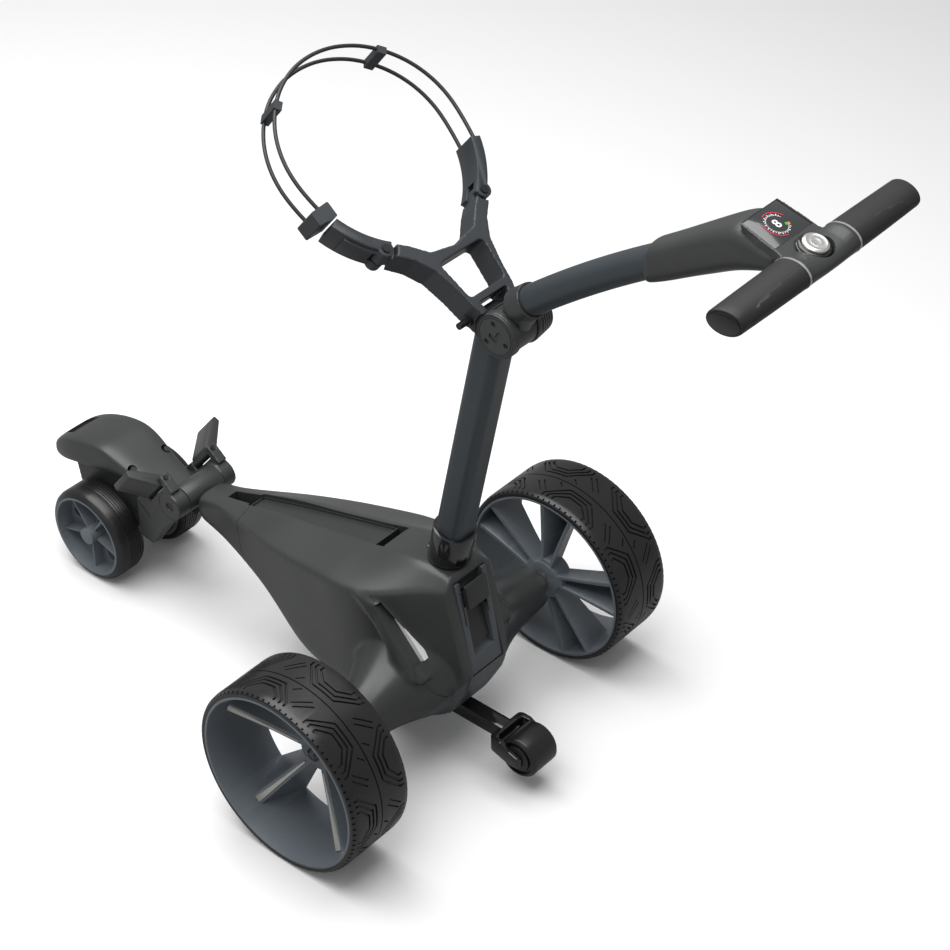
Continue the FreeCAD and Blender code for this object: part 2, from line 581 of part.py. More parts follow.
def stem():
    around_hub = barrel(-60, 60, CHEEK_R, HUB_Y, HUB_Z)
    sweep = wedge(40).cut(around_hub)
    inside = STEM_SIZE - 2 * STEM_WALL
    tube = stem_prism(STEM_SIZE, STEM_SIZE, 12, 14, STEM_LENGTH - 14)
    tube = tube.cut(stem_prism(inside, inside, 10, 13, STEM_LENGTH))
    nodes["stem_tube"] = biggest(tube.cut(around_hub).cut(sweep))
    collar = Part.makeCylinder(COLLAR_R, COLLAR_LENGTH + 10, STEM_FOOT - STEM_UP * 10, STEM_UP)
    collar = collar.cut(box(-60, 60, -80, 60, 240, COLLAR_Z))
    collar = collar.cut(stem_prism(STEM_SIZE, STEM_SIZE, 12, 14, 60))
    slot = fuse(barrel(-5.3, 5.3, 5.4, STEM_PIVOT_Y, STEM_PIVOT_Z), box(-5.3, 5.3, 4.6, 30, 280, 306))
    collar = collar.cut(slot).cut(barrel(-13, 13, 2 + RUNNING, STEM_PIVOT_Y, STEM_PIVOT_Z))
    nodes["stem_collar"] = biggest(collar)

    disc = barrel(-CHEEK_LEFT, CHEEK_RIGHT, CHEEK_R, HUB_Y, HUB_Z)
    plug = stem_prism(inside, inside, 10, STEM_LENGTH - 60, 60)
    head = fuse(disc, plug.cut(stem_prism(inside - 8, inside - 8, 6, STEM_LENGTH - 61, 34)))
    head = head.cut(barrel(-CHEEK_IN - GAP, CHEEK_IN + GAP, EYE_R + 0.5, HUB_Y, HUB_Z))
    head = head.cut(wedge(CHEEK_IN + GAP)).cut(sweep)
    head = head.cut(barrel(-60, 60, BOLT_R, HUB_Y, HUB_Z))
    head = head.cut(barrel(CHEEK_RIGHT, 60, CHEEK_R + 1, HUB_Y, HUB_Z))
    nodes["stem_head"] = biggest(head)
    nodes["hub_cap"] = turned([
        (-28, 0), (-28, 22), (-26, 28), (-CHEEK_LEFT, 28), (-CHEEK_LEFT, 0),
    ], HUB_Y, HUB_Z)
    nodes["hinge_bolt"] = barrel(-CHEEK_LEFT, KNOB_OUT - 6, BOLT_R, HUB_Y, HUB_Z)
    ribs = [(CHEEK_RIGHT + GAP, BOLT_R + RUNNING), (CHEEK_RIGHT + GAP, 27.5)]
    pitch = (KNOB_OUT - CHEEK_RIGHT - 3) / 5
    for k in range(5):
        x, r = CHEEK_RIGHT + 1 + pitch * k, 27.5 - 0.55 * k
        ribs += [(x + 0.5, r), (x + 0.9, r - 1.3), (x + 1.6, r - 1.3), (x + 2.0, r)]
    ribs += [(KNOB_OUT - 1.5, 24.5), (KNOB_OUT, 22), (KNOB_OUT, BOLT_R + RUNNING)]
    nodes["hinge_knob"] = turned(ribs, HUB_Y, HUB_Z)

    right = [(36, -131), (55, -113), (71, -101), (80, -93), (91, -98), (89, -109), (79, -114), (60, -131),
             (46, -152), (38, -182), (34, -206), (28, -224), (24, -249), (15.4, -249)]
    left = [(-u, v) for u, v in reversed(right)]
    yoke = ring_plate([(0, -138)] + right + left, RING_BACK_N, RING_FRONT_N)
    window = ring_plate([
        (36, -147), (29, -197), (-29, -197), (-36, -147),
    ], RING_BACK_N - 1, RING_FRONT_N + 1, 6)
    throat = ring_plate([
        (23, -206), (15.4, -224), (15.4, -260), (-15.4, -260), (-15.4, -224), (-23, -206),
    ], RING_BACK_N - 1, RING_FRONT_N + 1)
    yoke = yoke.cut(window).cut(throat)
    for u in (PIN_U, -PIN_U):
        yoke = yoke.fuse(ring_pin(u, PIN_V, 8.5, -4.7, 9.7))
        yoke = yoke.cut(ring_pin(u, PIN_V, 14, -16, -4.7)).cut(ring_pin(u, PIN_V, 14, 9.7, 21))
        yoke = yoke.cut(ring_pin(u, PIN_V, 3, -20, 22))
    yoke = yoke.cut(barrel(CHEEK_RIGHT, 60, CHEEK_R + 1, HUB_Y, HUB_Z))
    yoke = yoke.cut(barrel(-40, -CHEEK_LEFT, CHEEK_R + 0.5, HUB_Y, HUB_Z))
    yoke = yoke.cut(wedge(22)).cut(nodes["stem_head"]).cut(nodes["stem_tube"])
    yoke = yoke.cut(barrel(-CHEEK_IN - GAP, CHEEK_IN + GAP, EYE_R + 0.5, HUB_Y, HUB_Z))
    stud_at = ring_point(-STUD_FROM, STUD_V, STUD_N)
    stud = fuse(Part.makeCylinder(STUD_R, STUD_LENGTH + 14, stud_at + X_AXIS * 14, -X_AXIS),
                Part.makeCylinder(STUD_R + 2.5, 17, stud_at + X_AXIS * 14, -X_AXIS))
    nodes["accessory_stud"] = biggest(stud.cut(yoke).cut(nodes["stem_tube"]).cut(nodes["stem_head"]))
    nodes["yoke"] = biggest(yoke)


# Bag ring --------------------------------------------------------------------------------------

def ring_arc(r0, r1, a0, a1, n0, n1):
    """A stretch of a flat ring about the bag ring's centre, angles in degrees from +u."""
    def at(r, a):
        return ring_point(r * math.cos(math.radians(a)), r * math.sin(math.radians(a)), n0)
    mid = (a0 + a1) / 2
    edges = [Part.Arc(at(r0, a0), at(r0, mid), at(r0, a1)).toShape(),
             Part.LineSegment(at(r0, a1), at(r1, a1)).toShape(),
             Part.Arc(at(r1, a1), at(r1, mid), at(r1, a0)).toShape(),
             Part.LineSegment(at(r1, a0), at(r0, a0)).toShape()]
    return Part.Face(Part.Wire(edges)).extrude(RING_OUT * (n1 - n0))


def cord(points, radius):
    """A round tube along straight runs joined by tangent arcs, with its bend radii and its length."""
    edges, radii = [], []
    last = points[0]
    for before, corner, after in zip(points, points[1:], points[2:]):
        back, ahead = before - corner, after - corner
        run = min(back.Length, ahead.Length)
        back.normalize()
        ahead.normalize()
        half_turn = (math.pi - back.getAngle(ahead)) / 2
        cut = 0.45 * run
        bend = cut / math.tan(half_turn)
        radii.append(bend)
        start, end = corner + back * cut, corner + ahead * cut
        inward = (back + ahead).normalize()
        middle = corner + inward * (bend / math.cos(half_turn) - bend)
        edges.append(Part.LineSegment(last, start).toShape())
        edges.append(Part.Arc(start, middle, end).toShape())
        last = end
    edges.append(Part.LineSegment(last, points[-1]).toShape())
    path = Part.Wire(edges)
    first = (points[1] - points[0]).normalize()
    profile = Part.Wire(Part.makeCircle(radius, points[0], first))
    return path.makePipeShell([profile], True, False), radii, path.Length


def bag_ring():
    for side, name in ((1, "right_pad"), (-1, "left_pad")):
        a0, a1 = (-54.5, -20.5) if side == 1 else (234.5, 202.5)
        pad = ring_arc(121, 134, a0, a1, -18, 18)
        rib = ring_arc(134, 137, a0 * 0.9 + a1 * 0.1, a0 * 0.25 + a1 * 0.75, -13, 13)
        pad = fuse(pad, rib, ring_pin(side * PIN_U, PIN_V, 9.5, -18, 18))
        pad = pad.cut(ring_pin(side * PIN_U, PIN_V, 14.3, -5, 10))
        nodes[name] = pad.cut(ring_pin(side * PIN_U, PIN_V, 3 + RUNNING, -20, 20))
    nodes["ring_pins"] = group([
        fuse(ring_pin(u, PIN_V, 3, -19, 19), ring_pin(u, PIN_V, 5, 18, 20)) for u in (PIN_U, -PIN_U)
    ])
    for name, n in (("hoop_cord_front", CORD_FRONT_N), ("hoop_cord_rear", CORD_REAR_N)):
        points = [ring_point(u, v, n) for u, v in HOOP_ROUTE]
        tube, radii, length = cord(points, CORD_R)
        nodes[name] = tube
        area = math.pi * CORD_R ** 2
        print(name, "length", round(length, 1), "bends", [round(r) for r in radii],
              "volume over section times length", round(tube.Volume / (area * length), 4))
        nodes["right_pad"] = nodes["right_pad"].cut(tube)
    clips = [ring_plate([(-136, -27), (-108.5, -25), (-108.5, -44.3), (-136, -44.3)], -18, 18, 2)]
    for angle in (48, 132):
        clips.append(ring_arc(120.5, 130, angle - 2.6, angle + 2.6, -18, 18))
    for i, clip in enumerate(clips):
        clips[i] = clip.cut(nodes["hoop_cord_front"]).cut(nodes["hoop_cord_rear"])
    nodes["hoop_clips"] = group(clips)


# Handle ----------------------------------------------------------------------------------------

def tube_arc(radius):
    points = [Vector(0, *p) for p in (TUBE_START, TUBE_MIDDLE, TUBE_END)]
    arc = Part.Arc(*points)
    tangent = arc.toShape().tangentAt(arc.toShape().FirstParameter)
    profile = Part.Wire(Part.makeCircle(radius, points[0], tangent))
    return Part.Wire([arc.toShape()]).makePipeShell([profile], True, False), tangent


def slab(y, half, low, high, corner=6.0):
    points = [(half - corner, high), (half, high - corner), (half, low + corner), (half - corner, low)]
    right = [Vector(x, y, z) for x, z in points]
    return outline(right + [Vector(-p.x, p.y, p.z) for p in reversed(right)])


def ellipse_bar(x0, x1, depth0, height0, depth1, height1):
    def wire(x, depth, height):
        steps = [math.radians(15 * k) for k in range(24)]
        return outline([
            Vector(x, BAR_Y + depth / 2 * math.cos(a), BAR_Z + height / 2 * math.sin(a)) for a in steps
        ])
    return loft([wire(x0, depth0, height0), wire(x1, depth1, height1)])


def handle():
    tube, along = tube_arc(TUBE_R)
    bore, _ = tube_arc(TUBE_R - 2.2)
    nodes["upper_tube"] = tube.cut(bore)
    start = Vector(0, *TUBE_START)
    hub = Vector(0, HUB_Y, HUB_Z)
    socket = Part.makeCylinder(TUBE_R + 3, 26, start - along * 16, along)
    reach = start - hub
    arm = Part.makeCylinder(TUBE_R + 1, reach.Length - 4, hub, reach)
    ring = barrel(-40, 40, CHEEK_R + 0.6, HUB_Y, HUB_Z).cut(barrel(-CHEEK_IN, CHEEK_IN, 60, HUB_Y, HUB_Z))
    elbow = fuse(arm, socket, barrel(-CHEEK_IN, CHEEK_IN, EYE_R, HUB_Y, HUB_Z)).cut(ring)
    knob_clear = barrel(CHEEK_RIGHT, 60, CHEEK_R + 0.6, HUB_Y, HUB_Z)
    elbow = elbow.cut(knob_clear).cut(nodes["upper_tube"]).cut(bore)
    nodes["handle_elbow"] = biggest(elbow.cut(barrel(-60, 60, BOLT_R + RUNNING, HUB_Y, HUB_Z)))

    neck = loft([slab(-296, 21, 817, 861, 9), slab(-350, 24, 845, 899, 9), slab(-400, 31, 872, 934),
                 slab(-416, 34, 882, 944), slab(-463, 38, 903, 931, 5)])
    tilt = math.tan(DISPLAY_TILT)
    pod = side_plate([
        (-414, 944), (-463, 931), (-496, 931 - 33 * tilt), (-510, 914), (-508, 906),
        (-494, 903), (-444, 900), (-420, 886),
    ], -BAND_X + BAND_WIDTH / 2, BAND_X - BAND_WIDTH / 2)
    pod = pod.cut(side_plate([(-400, 960), (-452, 960), (-452, 880), (-400, 860)], 37, 60))
    pod = pod.cut(side_plate([(-400, 960), (-452, 960), (-452, 880), (-400, 860)], -60, -37))
    bar_core = ellipse_bar(-BAND_X + BAND_WIDTH / 2, BAND_X - BAND_WIDTH / 2, BAR_DEPTH - 2, BAR_HEIGHT - 4,
                           BAR_DEPTH - 2, BAR_HEIGHT - 4)
    above = side_plate([(-440, 931 + 23 * tilt), (-520, 931 - 57 * tilt), (-520, 960), (-440, 960)], -60, 60)
    rod = barrel(-BAR_HALF + 8, BAR_HALF - 8, ROD_R, BAR_Y, ROD_Z)
    cavity = loft([slab(-306, 15, 824, 853, 6), slab(-350, 20, 850, 893, 7), slab(-400, 27, 877, 924),
                   slab(-456, 33, 906, 923, 4)])
    housing = fuse(neck, pod, bar_core.cut(above)).cut(cavity.cut(tube_arc(TUBE_R + 1)[0]))
    plane_back = Vector(0, -math.cos(DISPLAY_TILT), -math.sin(DISPLAY_TILT))
    plane_out = Vector(0, -math.sin(DISPLAY_TILT), math.cos(DISPLAY_TILT))
    corner = Vector(0, DISPLAY_Y, DISPLAY_Z) - plane_back * 3
    glass = Part.Face(outline([
        corner - X_AXIS * 31, corner + X_AXIS * 31, corner + X_AXIS * 29 - plane_back * 44,
        corner - X_AXIS * 29 - plane_back * 44,
    ], 2)).extrude(plane_out * -2.5)
    nodes["display_glass"] = glass
    foot = Vector(0, SPEED_Y, SPEED_Z)
    well = Part.makeCylinder(SPEED_R - 6 + RUNNING, 12, foot - plane_out * 9, plane_out)
    housing = housing.cut(glass).cut(well).cut(tube).cut(bore).cut(rod)
    housing = housing.cut(Part.makeCylinder(SPEED_R + 1.0, 12, foot, plane_out))
    nodes["display_housing"] = biggest(housing)
    nodes["handle_rod"] = rod.cut(well).cut(Part.makeCylinder(SPEED_R + 1.0, 12, foot, plane_out))
    ring_part = Part.makeCylinder(SPEED_R, 8, foot + plane_out * GAP, plane_out).fuse(
        Part.makeCylinder(SPEED_R - 6, 7, foot - plane_out * 6.5, plane_out))
    ring_part = ring_part.cut(Part.makeCylinder(SPEED_R - 4 + GAP, 12, foot + plane_out * 4, plane_out))
    nodes["speed_ring"] = ring_part.cut(Part.makeCylinder(5 + RUNNING, 30, foot - plane_out * 3, plane_out))
    cap = Part.makeCylinder(SPEED_R - 4, 5.5, foot + plane_out * 6.6, plane_out).fuse(
        Part.makeCylinder(5, 8, foot - plane_out * 0.4, plane_out))
    nodes["speed_cap"] = cap.removeSplitter()

    band = ellipse_bar(BAND_X - BAND_WIDTH / 2, BAND_X + BAND_WIDTH / 2, BAR_DEPTH, BAR_HEIGHT,
                       BAR_DEPTH, BAR_HEIGHT).cut(rod)
    nodes["bar_bands"] = both(band)
    grip = ellipse_bar(
        BAND_X + BAND_WIDTH / 2, BAR_HALF, BAR_DEPTH - 1, BAR_HEIGHT - 1, BAR_DEPTH - 4, BAR_HEIGHT - 4)
    end_cut = plan_plate([
        (BAR_HALF + 1, BAR_Y + 30), (BAR_HALF - 5, BAR_Y - 30), (BAR_HALF + 20, BAR_Y - 30),
        (BAR_HALF + 20, BAR_Y + 30),
    ], 880, 960)
    grip = grip.cut(end_cut).cut(rod)
    nodes["right_grip"] = grip
    nodes["left_grip"] = mirrored(grip)


# Build and write -------------------------------------------------------------------------------

def write_parts():
    os.makedirs("parts", exist_ok=True)
    for name, shape in nodes.items():
        moved = shape.copy()
        moved.translate(Vector(0, AXLE_Y, 0))
        moved.exportStep("parts/" + name + ".step")
    whole = Part.makeCompound(list(nodes.values())).BoundBox
    print("whole", [round(v + (AXLE_Y if i in (1, 4) else 0), 2) for i, v in enumerate(
        (whole.XMin, whole.YMin, whole.ZMin, whole.XMax, whole.YMax, whole.ZMax))])


chassis()
for side in ("left", "right"):
    rear_wheel(side)
    front_wheel(side)
antitip()
front_carriage()
stem()
bag_ring()
handle()
write_parts()
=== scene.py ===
"""Electric golf trolley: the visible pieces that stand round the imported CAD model.

Laid out as a Blender add-on and run as a script. Each operator makes one piece or one group of
like pieces from the sizes in the property groups, and the panel lists them. Lengths are in
metres, and in the tables of points and sections in millimetres.
"""
import json
import math

import bmesh
import bpy
from mathutils import Euler, Matrix, Vector

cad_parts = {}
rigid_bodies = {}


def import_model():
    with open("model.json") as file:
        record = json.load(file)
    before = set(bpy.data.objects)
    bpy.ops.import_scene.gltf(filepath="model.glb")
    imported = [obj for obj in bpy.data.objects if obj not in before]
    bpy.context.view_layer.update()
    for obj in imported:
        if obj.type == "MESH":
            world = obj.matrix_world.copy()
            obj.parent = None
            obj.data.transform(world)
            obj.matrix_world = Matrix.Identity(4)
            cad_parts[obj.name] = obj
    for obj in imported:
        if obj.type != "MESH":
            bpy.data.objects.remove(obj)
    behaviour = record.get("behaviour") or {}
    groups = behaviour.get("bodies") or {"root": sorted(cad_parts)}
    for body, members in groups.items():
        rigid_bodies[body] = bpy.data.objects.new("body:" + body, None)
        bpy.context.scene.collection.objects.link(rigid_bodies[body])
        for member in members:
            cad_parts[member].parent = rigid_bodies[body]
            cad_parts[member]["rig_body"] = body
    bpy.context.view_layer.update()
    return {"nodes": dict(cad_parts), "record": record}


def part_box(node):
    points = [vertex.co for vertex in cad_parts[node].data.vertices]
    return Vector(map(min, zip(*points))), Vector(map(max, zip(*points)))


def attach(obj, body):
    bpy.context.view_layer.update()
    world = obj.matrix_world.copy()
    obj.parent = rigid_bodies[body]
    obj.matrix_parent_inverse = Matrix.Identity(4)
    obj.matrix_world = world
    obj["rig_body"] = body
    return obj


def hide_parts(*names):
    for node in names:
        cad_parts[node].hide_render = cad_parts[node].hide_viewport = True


bl_info = {
    "name": "Golf trolley builder",
    "version": (1, 0, 0),
    "blender": (4, 5, 0),
    "location": "View3D > Sidebar > Trolley",
    "description": "Builds an electric golf trolley round its CAD frame",
    "category": "Object",
}

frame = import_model()
MM = 0.001
AXLE_Y = sum(corner.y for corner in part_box("right_tyre")) / 2
AXLE_Z = sum(corner.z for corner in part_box("right_tyre")) / 2
WHEEL_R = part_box("right_tyre")[1].z - AXLE_Z
FRONT_Y = sum(corner.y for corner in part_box("front_right_tyre")) / 2
FRONT_Z = sum(corner.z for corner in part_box("front_right_tyre")) / 2
FRONT_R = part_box("front_right_tyre")[1].z - FRONT_Z
X_AXIS = Vector((1, 0, 0))
# Merging distances and the angle under which facets of a CAD node are one face, in degrees.
NODE_MERGE = 0.02 * MM
TURNED_MERGE = 0.005 * MM
TREAD_MERGE = 0.03 * MM
FLAT_ANGLE = 0.4
SLOT_OF = {part["node"]: part["material_slot"] for part in frame["record"]["subparts"]}


# Sizes and colours -----------------------------------------------------------------------------

class StageSettings(bpy.types.PropertyGroup):
    lens: bpy.props.FloatProperty(
        name="Lens", description="Focal length of the camera on a 36 mm sensor",
        default=93.41, unit="CAMERA")
    floor_size: bpy.props.FloatProperty(
        name="Floor size", description="Side of the square floor", default=14.0, unit="LENGTH")
    key_power: bpy.props.FloatProperty(
        name="Key light", description="Power of the large light overhead", default=104.0,
        unit="POWER")
    fill_power: bpy.props.FloatProperty(
        name="Fill light", description="Power of the light on the left", default=5.0,
        unit="POWER")
    world_strength: bpy.props.FloatProperty(
        name="Surroundings", description="Strength of the even light all round", default=0.34)


class FinishSettings(bpy.types.PropertyGroup):
    shell: bpy.props.FloatVectorProperty(
        name="Shell", description="Moulded shell colour", subtype="COLOR",
        default=(0.036, 0.0375, 0.038))
    grey: bpy.props.FloatVectorProperty(
        name="Grey parts", description="Tray, rims and frames", subtype="COLOR",
        default=(0.055, 0.063, 0.071))
    tube: bpy.props.FloatVectorProperty(
        name="Tube paint", description="Painted stem and upper tube", subtype="COLOR",
        default=(0.048, 0.058, 0.066))
    rubber: bpy.props.FloatVectorProperty(
        name="Rubber", description="Tyres and grips", subtype="COLOR",
        default=(0.012, 0.012, 0.0125))
    dial_red: bpy.props.FloatVectorProperty(
        name="Dial red", description="Arcs on the display", subtype="COLOR",
        default=(0.55, 0.02, 0.06))


class TyreSettings(bpy.types.PropertyGroup):
    blocks: bpy.props.IntProperty(
        name="Blocks", description="Tread blocks round each side of a rear tyre", default=7)
    groove_depth: bpy.props.FloatProperty(
        name="Groove depth", description="Depth of the tread grooves", default=0.0022,
        unit="LENGTH")
    depth: bpy.props.FloatProperty(
        name="Tread thickness", description="Crown of the tyre to the rim", default=0.008,
        unit="LENGTH")


class DetailSettings(bpy.types.PropertyGroup):
    seam_width: bpy.props.FloatProperty(
        name="Seam width", description="Gap between moulded panels", default=0.0008,
        unit="LENGTH")
    seam_depth: bpy.props.FloatProperty(
        name="Seam depth", description="Depth of the gap between panels", default=0.0008,
        unit="LENGTH")


# Modelling helpers -----------------------------------------------------------------------------

def deselect():
    bpy.ops.object.select_all(action="DESELECT")


def take(obj):
    """Makes one object the active and only selected one."""
    deselect()
    obj.select_set(True)
    bpy.context.view_layer.objects.active = obj


def edit(obj, everything=False):
    """Opens one object in edit mode with nothing selected, or all of it."""
    take(obj)
    bpy.context.tool_settings.mesh_select_mode = (True, False, False)
    bpy.ops.object.mode_set(mode="EDIT")
    bpy.ops.mesh.select_all(action="SELECT" if everything else "DESELECT")


def leave():
    bpy.ops.object.mode_set(mode="OBJECT")


def pick_faces(obj, test):
    """Selects the faces of the mesh in edit mode whose centre and normal pass the test."""
    mesh = bmesh.from_edit_mesh(obj.data)
    bpy.context.tool_settings.mesh_select_mode = (False, False, True)
    for face in mesh.faces:
        face.select_set(bool(test(face.calc_center_median(), face.normal)))
    bmesh.update_edit_mesh(obj.data)


def faced_out(obj, merge=None):
    """Merges points nearer than the distance, if one is given, and turns the faces outwards."""
    edit(obj, True)
    if merge:
        bpy.ops.mesh.remove_doubles(threshold=merge)
    bpy.ops.mesh.normals_make_consistent(inside=False)
    leave()


def smooth(obj, degrees=32):
    take(obj)
    bpy.ops.object.shade_smooth_by_angle(angle=math.radians(degrees))


def apply_all(obj):
    take(obj)
    for modifier in list(obj.modifiers):
        bpy.ops.object.modifier_apply(modifier=modifier.name)


def apply_place(obj):
    take(obj)
    bpy.ops.object.transform_apply(location=True, rotation=True, scale=True)


def add_bevel(obj, width, segments=2, degrees=30):
    bevel = obj.modifiers.new("Edges", "BEVEL")
    bevel.width = width
    bevel.segments = segments
    bevel.limit_method = "ANGLE"
    bevel.angle_limit = math.radians(degrees)
    bevel.use_clamp_overlap = True
    bevel.miter_outer = "MITER_ARC"


def finish_piece(obj, body, finish, name=None, node=None, degrees=None):
    """Smooths and names a finished piece; gives it its body and material, and hides the CAD node it
    stands for.
    """
    if degrees:
        smooth(obj, degrees)
    if name:
        obj.name = name
        obj.data.name = name
    obj.data.materials.clear()
    obj.data.materials.append(MATERIALS[finish])
    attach(obj, body)
    if node:
        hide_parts(node)


def skin(node, finish, edge=None, degrees=32, segments=2, melt=None):
    """A merged, softened and smoothed copy of a CAD node that stands for it."""
    source = frame["nodes"][node]
    piece = bpy.data.objects.new(node + "_piece", source.data.copy())
    bpy.context.scene.collection.objects.link(piece)
    edit(piece, True)
    bpy.ops.mesh.remove_doubles(threshold=NODE_MERGE)
    bpy.ops.mesh.customdata_custom_splitnormals_clear()
    bpy.ops.mesh.mark_sharp(clear=True)
    bpy.ops.mesh.dissolve_limited(angle_limit=math.radians(FLAT_ANGLE))
    leave()
    if edge:
        add_bevel(piece, edge, segments, degrees)
        apply_all(piece)
    if melt:
        melted(piece, *melt)
    finish_piece(piece, source["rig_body"], finish, node=node, degrees=degrees)


def turned(name, profile, centre, axis, vertices=96, closed=False):
    """A turned body: a circle extruded and scaled along its (along, radius) profile in mm."""
    axis = Vector(axis).normalized()
    centre = Vector(centre)
    profile = [(along * MM, radius * MM) for along, radius in profile]
    first_along, radius = profile[0]
    deselect()
    bpy.ops.mesh.primitive_circle_add(
        vertices=vertices, radius=radius, location=centre + axis * first_along,
        rotation=axis.to_track_quat("Z", "Y").to_euler(), enter_editmode=False)
    obj = bpy.context.object
    obj.name = name
    apply_place(obj)
    edit(obj, True)
    if not closed:
        bpy.ops.mesh.edge_face_add()
    along = first_along
    for next_along, next_radius in profile[1:]:
        bpy.ops.mesh.extrude_region_move(
            TRANSFORM_OT_translate={"value": axis * (next_along - along)})
        bpy.ops.transform.resize(
            value=(next_radius / radius,) * 3, center_override=centre + axis * next_along)
        along, radius = next_along, next_radius
    leave()
    faced_out(obj, TURNED_MERGE)
    return obj


def join(objects, name):
    take(objects[0])
    for obj in objects:
        obj.select_set(True)
    bpy.ops.object.join()
    obj = bpy.context.object
    obj.name = name
    obj.data.name = name
    return obj


def copied(obj, name, matrix):
    """A copy with its own mesh, moved by a matrix and with the place put in the mesh."""
    twin = obj.copy()
    twin.data = obj.data.copy()
    twin.name = name
    twin.data.name = name
    bpy.context.scene.collection.objects.link(twin)
    twin.data.transform(matrix)
    if matrix.determinant() < 0:
        edit(twin, True)
        bpy.ops.mesh.flip_normals()
        leave()
    return twin


def at(x, y, z):
    """A point given in millimetres from the middle of the rear axle's floor line."""
    return Vector((x * MM, y * MM + AXLE_Y, z * MM))


def mirrored(points):
    """A closed ring: points from the top to the foot of the right side, and back up the left."""
    return points + [(-x, z) for x, z in points[-2:0:-1]]


def oval(x, y, z, deep, tall, count, slant=0.0):
    """An upright ring of points in millimetres round (x, y, z); slant moves X with Y."""
    return [at(x + slant * deep * math.cos(turn), y + deep * math.cos(turn),
               z + tall * math.sin(turn))
            for turn in [math.tau * k / count for k in range(count)]]


def lofted(name, rings, levels=0, creases=()):
    """A closed skin through rings of equally many points, with its long edges creased by place."""
    mesh = bmesh.new()
    rows = [[mesh.verts.new(point) for point in ring] for ring in rings]
    count = len(rings[0])
    sharp = mesh.edges.layers.float.new("crease_edge")
    for row, following in zip(rows, rows[1:]):
        for i in range(count):
            j = (i + 1) % count
            mesh.faces.new((row[i], row[j], following[j], following[i]))
    mesh.faces.new(rows[0][::-1])
    mesh.faces.new(rows[-1])
    for row, following in zip(rows, rows[1:]):
        for i, value in creases:
            mesh.edges.get((row[i], following[i]))[sharp] = value
    data = bpy.data.meshes.new(name)
    mesh.to_mesh(data)
    mesh.free()
    obj = bpy.data.objects.new(name, data)
    bpy.context.scene.collection.objects.link(obj)
    faced_out(obj)
    if levels:
        skin_modifier = obj.modifiers.new("Smooth skin", "SUBSURF")
        skin_modifier.levels = levels
        skin_modifier.render_levels = levels
        apply_all(obj)
    return obj


def cut_away(obj, cutter, operation="DIFFERENCE", solver="FAST", keep=False):
    """Applies a boolean of two closed solids and removes the second one."""
    take(obj)
    boolean = obj.modifiers.new("Cut", "BOOLEAN")
    boolean.operation = operation
    boolean.solver = solver
    boolean.object = cutter
    bpy.ops.object.modifier_apply(modifier=boolean.name)
    if not keep:
        bpy.data.objects.remove(cutter)
    return obj


def prism(name, points, low, high):
    """A plate between two X values, its outline given as (y, z), all in millimetres."""
    return lofted(name, [[at(x, y, z) for y, z in points] for x in (low, high)])


def prism_pair(name, points, near, far):
    """The same plate on each side, between two distances from the middle plane."""
    return join([prism(name, points, *sorted((side * near, side * far)))
                 for side in (1, -1)], name)


def flat_plate(name, points, low, high):
    """A plate between two heights in millimetres, its outline given as (x, y) millimetres."""
    return lofted(name, [[at(x, y, z) for x, y in points] for z in (low, high)])


def melted(obj, voxel, rounds, faces=None):
    """Merges overlapping closed solids into one moulding with soft fillets."""
    remesh = obj.modifiers.new("Merge", "REMESH")
    remesh.mode = "VOXEL"
    remesh.voxel_size = voxel
    remesh.adaptivity = 0
    soften = obj.modifiers.new("Soften", "SMOOTH")
    soften.factor = 0.5
    soften.iterations = rounds
    apply_all(obj)
    count = len(obj.data.polygons) * 2
    if faces and count > faces:
        thin = obj.modifiers.new("Thin", "DECIMATE")
        thin.ratio = faces / count
        apply_all(obj)
    return obj


def seam(obj, point, normal, width, depth, test):
    """A narrow sunk line where a plane crosses the outside of a shell."""
    normal = Vector(normal).normalized()
    for side in (-1, 1):
        edit(obj, True)
        bpy.ops.mesh.bisect(plane_co=Vector(point) + normal * side * width / 2, plane_no=normal)
        leave()
    edit(obj)
    pick_faces(
        obj,
        lambda c, n: abs((c - Vector(point)).dot(normal)) < width / 2 and test(c, n))
    bpy.ops.mesh.extrude_region_shrink_fatten(TRANSFORM_OT_shrink_fatten={"value": -depth})
    leave()


# Materials -------------------------------------------------------------------------------------

DRIFT_SCALE = 9.0
DRIFT_SPAN = (0.35, 0.65)
GRAIN_HEIGHT = 0.2 * MM


